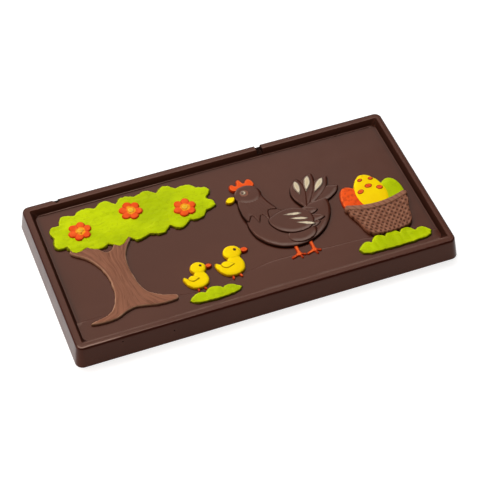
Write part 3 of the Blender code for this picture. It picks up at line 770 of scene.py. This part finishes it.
def shadeBar(piece):  # marks painted shade on the outer edge and at the inner wall's foot, painted highlights on edges, and the inner wall's painted shade, for the materials
    x, y, z = flatPlaces(piece)
    inset, across = barInset(x, y)
    band = {name: hump(inset, *places) for name, places in bar["bands"].items()}
    top, onLong = z > 7.0, np.clip(across / 2, 0, 1)
    near, far = (y < 0) * onLong, (y > 0) * onLong
    # outer is painted shade along the outer edge; mouth, crest and ledge are painted highlights; the foot bands
    # are painted shade past the inner wall's foot
    outer = np.where((x < 0) & (across < 0), band["outerLeft"], band["outer"])
    mouth = near * band["mouthNear"] + 0.5 * far * band["mouthFar"]
    leftward = np.clip((-x - 5) / 70, 0, 1) ** 2 * (1 + 2 * np.clip((-x - 60) / 10, 0, 1))
    crest = 1.2 * (y < 0) * np.clip(across / 2 + 1, 0, 1) * band["crest"] * leftward
    ledge = 1.3 * (y > 0) * np.clip(across / 0.5, 0, 1) * band["ledge"] * np.clip(-x / 30, 0.2, 1)
    addAttribute(piece, "shadeOuter", np.clip(outer * 1.5, 0, 1) * top)
    addAttribute(piece, "paintedHighlightShare", np.maximum.reduce([0.5 * mouth, crest, ledge]) * top)
    addAttribute(piece, "shadeFoot", np.maximum(band["foot"], 0.5 * band["footWide"]) * top)
    # the inner wall's painted shade, deeper down the wall, set per side by how that side is lit
    shades = bar["wallShades"]
    start, end = (np.where(
        across > 0, np.where(y > 0, shades["far"][i], shades["others"][i]),
        np.where(x > 0, shades["right"][i], shades["others"][i]),
    ) for i in (0, 1))
    wallTop, run = bar["wallRun"]
    addAttribute(piece, "downWall", start + (end - start) * np.clip((inset - wallTop) / run, 0, 1))
    # faces of the inner wall and of the far ledge's strip take the wall's painted-shade material
    for face in piece.data.polygons:
        middle = face.center / mm
        inset, across = (value[0] for value in barInset(*(np.array([c]) for c in middle[:2])))
        onWall = bar["wallFaces"][0] < inset < bar["wallFaces"][1]
        onLedge = bar["ledgeFaces"][0] < inset < bar["ledgeFaces"][1]
        onLedge = onLedge and middle.y > 0 and across > 0 and middle.x < 0
        if face.material_index == 0 and middle.z > 7.2 and (onWall or onLedge):
            face.material_index = 1


barBody = makeBar()
chipAway(barBody)
shadeBar(barBody)
print("bar made")


# Low ground that runs along the foot of the picture

ground = {
    "end": 75.4, "low": -35.2, "middle": -22.6,
    "shape": {"foot": 7.0, "top": 7.43, "edge": 0.5, "skirt": 0.15, "pitch": 3.0, "rings": 3},
}


def groundShape():
    line = []
    for i in range(101):
        x = ground["end"] * (1 - i / 50)
        y = ground["middle"] + 2.0 * math.sin(x / 15) + 0.8 * math.sin(x / 7.3 + 1) - 3.0 * (x / 75) ** 2
        line.append((x, y))
    return line + [(-ground["end"], ground["low"]), (ground["end"], ground["low"])]


plate("ground", groundShape(), ground["shape"], groundLook, "dark_chocolate")
print("ground made")


# The tree: trunk with grain, leafy crown, blossoms

tree = {
    "trunk": (
        (-70, -27), (-61, -24), (-57, -16), (-57, -5), (-61, 4), (-67, 10), (-63, 12.5), (-57, 9),
        (-52.5, 5.5), (-48, 10), (-42, 15), (-38, 13), (-43, 8), (-47, 0), (-47, -10), (-45, -18),
        (-40, -22.4), (-35.4, -24), (-34.2, -25.4), (-35.6, -26.8), (-43, -26.6), (-52, -25), (-61, -28),
    ),
    "trunkShape": {"foot": 7.1, "top": 8.5, "edge": 0.55, "skirt": 0.5, "pitch": 0.42, "wander": 0.22},
    "crown": {"x": -38.0, "y": 19.6, "halfLength": 33.6, "halfHeight": 11.6, "bumps": 18},
    "crownShape": {
        "foot": 7.1, "top": 8.3, "edge": 0.9, "skirt": 0.28, "pitch": 0.34, "wander": 0.5, "bumps": 1.4,
    },
    "leafSize": (3.4, 2.6), "leafRise": 0.10,
    "blossoms": ((-60.0, 19.5, 10.0), (-37.5, 23.0, 40.0), (-16.5, 17.0, 70.0)),
    "blossomShape": {"foot": 7.8, "top": 8.95, "edge": 0.7, "skirt": 0.4, "pitch": 0.3, "wander": 0.2},
    "eyeShape": {
        "foot": 7.9, "top": 9.02, "edge": 0.9, "skirt": 0.8, "pitch": 0.3, "wander": 0.2, "bumps": 1.2,
    },
    "blossomRadius": 5.1, "petals": 6, "eyeRadius": 1.5,
    "grainLeft": ((-72, -27.5), (-61, -24), (-57, -16), (-57, -5), (-61, 4), (-69, 12)),
    "grainRight": ((-33, -27), (-40, -22.4), (-45, -18), (-47, -10), (-47, 0), (-43, 8), (-36, 15)),
}


def trunkGrain(x, y):  # runs 0 to 1 across the trunk, so lines of one value follow its sides
    spots = np.stack((x, y), 1)
    left = distanceTo(spots, tree["grainLeft"], closed=False)
    right = distanceTo(spots, tree["grainRight"], closed=False)
    return left / np.maximum(left + right, 0.01)


def trunkSurface(x, y, deep):
    across = trunkGrain(x, y)
    drift = 0.9 * wobble(x, y, 9.0, 3.1)
    lines = np.sin(across * 60 + drift * 3.0) * 0.03 + np.sin(across * 23 + drift * 5.0) * 0.035
    spots = np.stack((x, y), 1)
    crown = crownShape(**tree["crown"])
    under = np.where(insideOf(spots, crown), np.clip(distanceTo(spots, crown) / 0.5, 0, 1), 0)
    return lines + 0.10 * wobble(x, y, 5.0, 7.7) - 0.9 * under


def crownSurface(x, y, deep):
    rise = np.zeros(len(x))
    for i, (a, b) in enumerate(zip(x, y)):
        leaf = (a / tree["leafSize"][0] + 5, b / tree["leafSize"][1], 0.4)
        near, spots = noise.voronoi(leaf, distance_metric="DISTANCE", exponent=2.5)
        rise[i] = tree["leafRise"] * min(near[1] - near[0], 0.5) / 0.5 - 0.06
    return rise + 0.05 * wobble(x, y, 7.0, 1.3) + 0.12 * (1 - np.exp(-deep / 3))


def makeTree():
    trunk = plate("treeTrunk", smoothLoop(tree["trunk"]), tree["trunkShape"], trunkLook,
                  "milk_chocolate", ("tree_trunk",), trunkSurface)
    x, y, z = flatPlaces(trunk)
    addAttribute(trunk, "across", trunkGrain(x, y))
    plate("treeCrown", crownShape(**tree["crown"]), tree["crownShape"], limeLook,
          "lime_chocolate", ("tree_crown",), crownSurface)
    for number, (x, y, turn) in enumerate(tree["blossoms"], 1):
        def petalSurface(px, py, deep, x=x, y=y, turn=turn):
            away = np.hypot(px - x, py - y)
            angle = np.arctan2(py - y, px - x) - math.radians(turn)
            crease = np.abs(np.cos(tree["petals"] * angle / 2)) ** 0.5
            return -0.26 * (1 - crease) * np.clip(away / 1.2, 0, 1) - 0.1 * np.clip(1 - away / 3.5, 0, 1)

        outline = petalShape(x, y, tree["blossomRadius"], tree["petals"], turn)
        blossom = plate(f"blossom{number}", outline, tree["blossomShape"], blossomLook,
                        "orange_chocolate", (f"blossom_{number}",), petalSurface)
        px, py, pz = flatPlaces(blossom)
        away = np.hypot(px - x, py - y)
        angle = np.arctan2(py - y, px - x) - math.radians(turn)
        addAttribute(blossom, "fromMiddle", away)
        addAttribute(blossom, "crease", 1 - np.abs(np.cos(tree["petals"] * angle / 2)) ** 0.7)
        eye = ellipse(x, y, tree["eyeRadius"], tree["eyeRadius"] * 0.94, turn, 28)
        plate(f"blossomEye{number}", eye, tree["eyeShape"], eyeLook, "yellow_chocolate")


def blossomMaterial():
    look = Look("blossomChocolate", 0.42, Specular_IOR_Level=0.07, Specular_Tint=(1.0, 0.5, 0.3, 1.0))
    patch = look.noise(300, 3.0)
    tone = look.mix(look.ramp(patch, 0.35, 0.7), lit(244, 84, 20), lit(255, 102, 34))
    away = look.plus(look.attribute("fromMiddle"), look.ramp(patch, 0.3, 0.7, -0.5, 0.5))
    tone = look.mix(look.ramp(away, 2.3, 1.5, 0.0, 0.9), tone, lit(255, 176, 26))
    crease = look.times(look.ramp(look.attribute("crease"), 0.5, 0.95), look.ramp(away, 1.4, 2.4))
    tone = look.mix(look.times(crease, 0.7), tone, lit(206, 50, 10))
    near = look.plus(look.attribute("fromEdge"), look.times(patch, -0.5))
    tone = look.mix(look.ramp(near, 0.5, -0.1, 0.0, 0.75), tone, lit(206, 54, 12))
    look.colour(tone)
    look.bump(look.noise(600, 3.0), 0.15, 0.0003)
    return look.material


def trunkMaterial():
    look = Look("trunkChocolate", 0.48, Specular_IOR_Level=0.14, Specular_Tint=(1.0, 0.72, 0.58, 1.0))
    parts = look.node("SeparateXYZ", Vector=look.coords)
    along = look.node("CombineXYZ")
    look.put(along.inputs[0], look.times(look.attribute("across"), 22.0))
    look.put(along.inputs[1], look.times(parts.outputs["Y"], 70.0))
    look.put(along.inputs[2], look.times(parts.outputs["X"], 25.0))
    at = along.outputs[0]
    grain = look.node("TexNoise", Vector=at, Scale=1.0, Detail=5.0, Distortion=0.6).outputs["Fac"]
    fine = look.node("TexNoise", Vector=at, Scale=2.1, Detail=3.0, Distortion=0.3).outputs["Fac"]
    tone = look.mix(look.ramp(grain, 0.30, 0.66), lit(126, 78, 56), lit(150, 98, 72))
    patch = look.noise(90, 2.0)
    tone = look.mix(look.ramp(patch, 0.4, 0.75, 0.0, 0.5), tone, lit(136, 88, 66))
    strokes = look.ramp(fine, 0.57, 0.66)
    tone = look.mix(look.times(strokes, 0.6), tone, lit(98, 56, 38))
    near = look.plus(look.attribute("fromEdge"), look.times(patch, -0.5))
    # painted highlight: pale along the trunk's border
    tone = look.mix(look.ramp(near, 0.32, 0.0, 0.0, 0.75), tone, lit(188, 146, 116))
    look.colour(tone)
    look.bump(grain, 0.3, 0.0005)
    look.bump(strokes, -0.4, 0.0003)
    look.bump(look.noise(700, 3.0), 0.12, 0.0002)
    return look.material


blossomLook = blossomMaterial()
eyeLook = colouredChocolate("blossomEyeChocolate", (252, 200, 24), (246, 170, 14), (255, 220, 90),
                            (236, 130, 20), (1.0, 0.8, 0.3), marks=0.2)
trunkLook = trunkMaterial()
makeTree()
print("tree made")


# The hen: dark relief lobes that overlap, with small coloured pieces

hen = {
    "place": (19.0, -3.5), "size": 0.92,
    "body": ((-11, 14), (-16, 5), (-15, -5), (-8, -13), (3, -15.5), (14, -11), (21, -2), (22, 6), (15, 6),
             (6, 4), (-1, 9), (-5, 15)),
    "wing": ((-7, 2), (-5, -5), (1, -8.8), (8, -8.6), (12, -5), (12, 0), (9, 3.6), (2, 5.5)),
    "quills": ((3.0, 1.6, -4.0, 13.0, 5.0), (2.0, -1.8, -9.0, 15.5, 5.0), (1.0, -5.6, -3.0, 13.5, 5.4)),
    "neck": ((-15.2, 18), (-16.6, 10), (-15.2, 4), (-12.6, 7), (-11, 2), (-8.4, 6), (-6, 2), (-4.6, 7.6),
             (-0.8, 7.5), (-3, 13), (-4.6, 18), (-8, 21)),
    "thigh": (4.5, -9.6, 7.0, 4.9, 12.0),
    "comb": ((-15.2, 24), (-16.2, 27), (-14.6, 28.2), (-12.9, 26.8), (-12, 29.4), (-10.4, 29.8), (-9.2, 27.2),
             (-7.2, 29), (-5.4, 28), (-5, 24.6), (-9.5, 22)),
    "head": (-10.0, 19.5, 6.2, 5.8), "eye": (-11.6, 20.8, 1.3, 1.3), "cheek": (-11.3, 20.5, 2.3, 2.1),
    "beak": {"x": -15.0, "y": 20.4, "turn": 196.0, "length": 5.8, "width": 3.6},
    "wattle": {"x": -13.8, "y": 17.6, "turn": 262.0, "length": 5.2, "width": 3.2},
    "tailRoot": (12.0, 2.0), "tail": ((28.0, 20.5), (47.0, 22.5), (66.0, 22.5), (85.0, 19.5)),
    "tailWidth": 7.6, "tailBend": 0.07, "inlayStart": (0.47, 0.062), "inlayShare": 0.44, "inlayWidth": 3.0,
    "wingFeathers": ((-0.5, 2.4, -12.0), (1.4, -0.5, -18.0), (3.3, -3.4, -24.0)),
    "wingFeatherSize": {"length": 9.0, "width": 1.9}, "legs": (-1.0, 6.0),
}


def onHen(points):
    return [(hen["place"][0] + hen["size"] * x, hen["place"][1] + hen["size"] * y) for x, y in points]


# What the pieces of one colour share: look, slot, mesh size and rings along the border
def colourPart(look, slot, pitch=0.35, rings=3):
    return {"look": look, "slot": slot, "pitch": pitch, "rings": rings}


orangePart = colourPart(orangeLook, "orange_chocolate")
orangeSpeck = colourPart(orangeLook, "orange_chocolate", 0.3)
combPart = colourPart(orangeLook, "orange_chocolate", rings=4)
yellowPart = colourPart(yellowLook, "yellow_chocolate")
chickPart = colourPart(yellowLook, "yellow_chocolate", 0.4, 5)
ivoryPart = colourPart(ivoryLook, "ivory_chocolate")
eyePart = colourPart(ivoryLook, "ivory_chocolate", 0.3)
milkPart = colourPart(milkLook, "milk_chocolate")


# A plate whose top stands above the panel by top and swells towards its middle
def relief(name, outline, top, edge=0.55, skirt=0.3, pitch=0.5, swell=0.12, look=lobeLook,
           slot="dark_chocolate", stands=(), rings=4, surface=None):
    def rounded(x, y, deep):
        rise = swell * (1 - np.exp(-deep / 2.5)) - swell
        return rise + (surface(x, y, deep) if surface else 0)

    wander = 0.05 if slot == "dark_chocolate" else 0.12
    shape = {
        "foot": 7.1, "top": panelZ + top, "edge": edge, "skirt": skirt, "pitch": pitch, "rings": rings,
        "wander": wander,
    }
    plate(name, outline, shape, look, slot, stands, rounded)


def legShape(x):
    return smoothLoop((
        (x - 0.8, -13.5), (x - 0.9, -18.6), (x - 3.8, -20.3), (x - 3.5, -21.4), (x - 0.5, -20.7),
        (x + 0.2, -22.3), (x + 1.1, -22.1), (x + 0.8, -20.5), (x + 2.5, -21.2), (x + 2.7, -20.2),
        (x + 0.9, -19.0), (x + 0.8, -13.5),
    ), 5)


def hackles(x, y, deep):  # fine strokes that run down the neck
    lines = np.sin((x * 0.94 + y * 0.34) * 5.2 + 1.4 * wobble(x, y, 4.0, 6.1))
    return 0.05 * lines * np.clip(deep / 1.2, 0, 1)


def makeHen():
    for number, (turn, length) in enumerate(hen["tail"]):
        outline = feather(*hen["tailRoot"], turn, length, hen["tailWidth"], hen["tailBend"])
        relief(f"henTail{number}", onHen(outline), 0.9 + 0.14 * number, edge=1.1, skirt=0.55, swell=0.1)
        if number:
            start = placed([[share * length for share in hen["inlayStart"]]], turn, hen["tailRoot"])[0]
            inlay = feather(*start, turn, hen["inlayShare"] * length, hen["inlayWidth"])
            relief(f"tailInlay{number}", onHen(inlay), 1.3 + 0.14 * number, edge=0.4, skirt=0.75,
                   stands=(f"tail_feather_{number}",), **ivoryPart)
    relief("henBody", onHen(smoothLoop(hen["body"])), 1.35, edge=1.5, skirt=0.4, swell=0.2, rings=6)
    relief("henThigh", onHen(ellipse(*hen["thigh"])), 1.66, edge=1.3, skirt=0.68, swell=0.2, rings=5)
    relief("henNeck", onHen(smoothLoop(hen["neck"])), 1.62, edge=1.0, skirt=0.7, swell=0.15, rings=5,
           surface=hackles)
    relief("henHead", onHen(ellipse(*hen["head"])), 1.78, edge=1.4, skirt=0.6, swell=0.25, rings=5)
    for number, place in enumerate(hen["quills"]):
        relief(f"henQuill{number}", onHen(feather(*place)), 1.86 - 0.1 * number, edge=0.8, skirt=0.72,
               swell=0.08)
    relief("henWing", onHen(smoothLoop(hen["wing"])), 2.0, edge=1.0, skirt=0.76, swell=0.08, rings=5)
    for number, place in enumerate(hen["wingFeathers"], 1):
        outline = feather(*place, **hen["wingFeatherSize"])
        relief(f"wingInlay{number}", onHen(outline), 2.16, edge=0.35, skirt=0.8,
               stands=(f"wing_feather_{number}",), **ivoryPart)
    relief("henComb", onHen(smoothLoop(hen["comb"])), 1.15, edge=0.5, stands=("hen_comb",), **combPart)
    relief("henBeak", onHen(feather(**hen["beak"])), 1.15, edge=0.45, **yellowPart)
    relief("henWattle", onHen(feather(**hen["wattle"])), 1.05, edge=0.45, **orangePart)
    relief("henCheek", onHen(ellipse(*hen["cheek"])), 1.86, edge=0.5, skirt=0.85, **milkPart)
    relief("henEye", onHen(ellipse(*hen["eye"], count=24)), 1.98, edge=0.5, skirt=0.85, **eyePart)
    pupil = ellipse(hen["eye"][0] - 0.3, hen["eye"][1], 0.62, 0.62, count=18)
    relief("henPupil", onHen(pupil), 2.06, edge=0.3, skirt=0.9, pitch=0.3, rings=2)
    for number, x in enumerate(hen["legs"], 1):
        relief(f"henLeg{number}", onHen(legShape(x)), 0.72, edge=0.3, **orangePart)


makeHen()
print("hen made")


# Two chicks

chick = {
    "body": ((-6.3, 2.4), (-5.4, -1.2), (-3, -4), (1, -4.8), (4.6, -3), (5.6, 1), (3.8, 5.6), (0.4, 5),
             (-1.4, 2.6), (-3.4, 2.2), (-5.2, 3.6)),
    "head": (2.6, 6.6, 3.9, 3.7), "eye": (3.9, 7.3, 0.62, 0.66),
    "beak": {"x": 5.0, "y": 6.9, "turn": -8.0, "length": 4.4, "width": 2.6},
    "wing": {"x": 1.6, "y": 0.4, "turn": 168.0, "length": 5.8, "width": 3.6},
    "places": ((-9.5, -18.5, 1.0), (-24.5, -20.5, 0.86)), "feet": ((-0.9, 262.0), (1.5, 290.0)),
}


def makeChicks():
    for number, (x, y, size) in enumerate(chick["places"], 1):
        def on(points):
            return [(x + size * a, y + size * b) for a, b in points]

        relief(f"chickBeak{number}", on(feather(**chick["beak"])), 1.1, edge=0.4, **orangePart)
        for side, (fx, turn) in enumerate(chick["feet"]):
            foot = on(feather(fx, -3.6, turn, 3.0, 1.1))
            relief(f"chickFoot{number}{side}", foot, 0.8, edge=0.3, **orangeSpeck)
        relief(f"chickBody{number}", on(smoothLoop(chick["body"])), 1.3, edge=1.4, skirt=0.22, swell=0.15,
               stands=(f"chick_{number}",), **chickPart)
        relief(f"chickHead{number}", on(ellipse(*chick["head"])), 1.5, edge=1.4, skirt=0.22, swell=0.25,
               **chickPart)
        relief(f"chickWing{number}", on(feather(**chick["wing"])), 1.6, edge=0.6, skirt=0.7, **yellowPart)
        relief(f"chickEye{number}", on(ellipse(*chick["eye"], count=18)), 1.68, edge=0.3, skirt=0.9,
               pitch=0.3, rings=2)


makeChicks()
print("chicks made")


# The basket and its eggs

basket = {
    "place": (57.5, -13.0),
    "side": (
        (-12.4, 5), (-11.2, -2), (-8.6, -9.5), (0, -11.3), (8.6, -9.5), (11.2, -2), (12.4, 5), (0, 3.4),
    ),
    "band": {"halfLength": 12.2, "width": 3.1, "sag": 2.4, "height": 6.1},
    "sideShape": {"foot": 7.1, "top": 9.05, "edge": 0.6, "skirt": 0.5, "pitch": 0.21},
    "bandShape": {"foot": 7.1, "top": 9.3, "edge": 0.7, "skirt": 0.5, "pitch": 0.26},
    # node, height above the panel, look and slot, and the egg's place and size
    "eggs": {
        "eggLeft": ("egg_left", 1.38, (orangeLook, "orange_chocolate"), (-7.8, 9.5, 17.0, 11.5, 103.0)),
        "eggRight": ("egg_right", 1.38, (limeLook, "lime_chocolate"), (8.0, 9.2, 16.0, 11.5, 74.0)),
        "eggMiddle": ("egg_middle", 1.74, (yellowLook, "yellow_chocolate"), (0.0, 12.0, 20.0, 14.0, 90.0)),
    },
    "rows": 12, "stakes": 19, "strandHeight": 0.28, "strandSink": 0.25,
    "dots": ((-4.0, 12.6, 1.5, 1.1, 20), (0.2, 14.6, 1.6, 1.15, 0), (4.2, 12.4, 1.4, 1.1, -20),
             (-1.9, 18.6, 1.1, 0.8, 10), (2.6, 18.2, 1.1, 0.85, -10)),
}


def onBasket(points):
    return [(basket["place"][0] + x, basket["place"][1] + y) for x, y in points]


def weave(x, y):  # height of two sets of slanting strands, over and under by turns, with pits between
    px, py = x - basket["place"][0], y - basket["place"][1]
    half = 12.4 - 3.6 * np.clip((5 - py) / 16, 0, 1.2) ** 1.4
    across = px / half * basket["stakes"] / 2
    down = (5.0 - 1.6 * (1 - (px / 12.4) ** 2) - py) / 16.0 * basket["rows"]
    strands = []
    for u, v in ((across + down, across - down), (across - down, across + down)):
        away = np.abs(u / 2 - np.round(u / 2)) * 2
        over = 0.80 + 0.20 * np.cos(math.pi * (v / 2 + np.round(u / 2)))
        strands.append(np.sqrt(np.clip(1 - (away / 0.6) ** 2, 0, 1)) * over)
    return basket["strandHeight"] * np.maximum(*strands)


def basketSurface(x, y, deep):
    return weave(x, y) - basket["strandSink"]


def bandSurface(x, y, deep):
    px = x - basket["place"][0]
    py = y - basket["place"][1]
    twist = np.abs(np.sin((px + 0.55 * py) * 1.35)) ** 0.7
    return 0.22 * twist - 0.2


def makeBasket():
    for name, (node, top, (look, slot), place) in basket["eggs"].items():
        relief(name, onBasket(eggShape(*place)), top, edge=2.2, skirt=0.24, swell=0.45, stands=(node,),
               **colourPart(look, slot, 0.4, 6))
    for number, place in enumerate(basket["dots"], 1):
        relief(f"eggDot{number}", onBasket(ellipse(*place, 26)), 1.78, edge=0.35, skirt=0.93, swell=0.04,
               **orangeSpeck)
    side = plate("basketSide", onBasket(smoothLoop(basket["side"])), basket["sideShape"], wickerLook,
                 "milk_chocolate", ("basket",), basketSurface)
    x, y, z = flatPlaces(side)
    addAttribute(side, "lift", weave(x, y))
    band = plate("basketBand", onBasket(saggingBand(**basket["band"])), basket["bandShape"], wickerLook,
                 "milk_chocolate", (), bandSurface)
    x, y, z = flatPlaces(band)
    addAttribute(band, "lift", bandSurface(x, y, 0) + 0.32)


def wickerMaterial():
    look = Look("wickerChocolate", 0.46, Specular_IOR_Level=0.14, Specular_Tint=(1.0, 0.72, 0.58, 1.0))
    patch = look.noise(260, 3.0)
    lift = look.attribute("lift")
    tone = look.mix(look.ramp(patch, 0.35, 0.7), lit(128, 80, 58), lit(144, 94, 70))
    # painted highlight: the strand tops paler
    tone = look.mix(look.ramp(lift, 0.19, 0.27, 0.0, 0.6), tone, lit(166, 118, 92))
    # painted shade: the pits between strands darker
    tone = look.mix(look.ramp(lift, 0.155, 0.045, 0.0, 0.9), tone, lit(78, 44, 31))
    look.colour(tone)
    look.bump(look.noise(800, 3.0), 0.15, 0.0003)
    return look.material


wickerLook = wickerMaterial()
makeBasket()
print("basket made")


# Grass

grass = {
    # node, left and right end, foot, height and number of blades
    "pieces": {
        "grassRight": ("grass_right", 40.5, 72.5, -31.2, 8.4, 5),
        "grassLeft": ("grass_left", -31.0, -9.0, -31.2, 5.8, 3),
    },
    "shape": {
        "foot": 7.1, "top": 8.4, "edge": 0.9, "skirt": 0.28, "pitch": 0.34, "wander": 0.34, "bumps": 1.7,
    },
}


def grassSurface(x, y, deep):
    blades = np.abs(np.sin(x * 0.9 + 1.2 * wobble(x, y, 5.0, 2.2))) ** 0.6
    return 0.14 * blades - 0.14 + 0.08 * wobble(x, y, 2.4, 4.4)


for name, (node, *sizes) in grass["pieces"].items():
    plate(name, grassShape(*sizes), grass["shape"], limeLook, "lime_chocolate", (node,), grassSurface)
print("grass made")


# Floor, light and camera

stage = {
    "floor": 3.0, "floorTone": (0.48, 0.48, 0.48, 1.0), "world": (0.12, 0.12, 0.12),
    "floorGlow": 0.775, "glowColour": (0.975, 0.98, 0.975, 1.0),
    "backLight": {"at": (-0.15, 0.88, 0.90), "size": (1.5, 1.1), "power": 14.5, "colour": (1.0, 0.99, 0.985)},
    "leftLight": {"at": (-0.95, 0.10, 0.55), "size": (0.5, 0.8), "power": 6.0, "colour": (1.0, 0.78, 0.70)},
    "topLight": {"at": (0.14, 0.42, 1.0), "size": (1.0, 0.07), "power": 3.6, "colour": (1.0, 1.0, 1.0)},
}
cameraSet = {
    "azimuth": -20.97, "elevation": 48.82, "roll": 0.2836, "lens": 127.32,
    "distance": 673.7, "target": (-2.083, -8.125, 9.6),
}


def makeStage():
    bm = bmesh.new()
    bmesh.ops.create_grid(bm, x_segments=1, y_segments=1, size=stage["floor"])
    mesh = bpy.data.meshes.new("floor")
    bm.to_mesh(mesh)
    bm.free()
    floor = bpy.data.objects.new("floor", mesh)
    bpy.context.scene.collection.objects.link(floor)
    look = Look("floorPaper", 0.8, Specular_IOR_Level=0.1)
    look.colour(stage["floorTone"])
    look.put(look.shader.inputs["Emission Color"], stage["glowColour"])
    look.put(look.shader.inputs["Emission Strength"], stage["floorGlow"])
    mesh.materials.append(look.material)
    for name in ("backLight", "leftLight", "topLight"):
        setup = stage[name]
        light = bpy.data.lights.new(name, "AREA")
        light.shape = "RECTANGLE"
        light.size, light.size_y = setup["size"]
        light.energy, light.color = setup["power"], setup["colour"]
        lamp = bpy.data.objects.new(name, light)
        lamp.location = setup["at"]
        lamp.rotation_euler = (-Vector(setup["at"])).to_track_quat("-Z", "Y").to_euler()
        bpy.context.scene.collection.objects.link(lamp)
    world = bpy.data.worlds.new("studio")
    world.use_nodes = True
    world.node_tree.nodes["Background"].inputs["Color"].default_value = (*stage["world"], 1.0)
    bpy.context.scene.world = world


def makeCamera():
    a, e = math.radians(cameraSet["azimuth"]), math.radians(cameraSet["elevation"])
    back = Vector((math.sin(a) * math.cos(e), -math.cos(a) * math.cos(e), math.sin(e)))
    right = Vector((math.cos(a), math.sin(a), 0))
    turn = Matrix.Rotation(math.radians(cameraSet["roll"]), 3, back)
    right = turn @ right
    up = back.cross(right)
    camera = bpy.data.cameras.new("camera")
    camera.lens = cameraSet["lens"]
    camera.sensor_width = 36.0
    holder = bpy.data.objects.new("camera", camera)
    spin = Matrix((right, up, back)).transposed().to_4x4()
    place = Vector(cameraSet["target"]) + back * cameraSet["distance"]
    holder.matrix_world = Matrix.Translation(place * mm) @ spin
    bpy.context.scene.collection.objects.link(holder)
    bpy.context.scene.camera = holder


makeStage()
makeCamera()
bpy.context.scene.view_settings.view_transform = "Standard"
print("stage made")
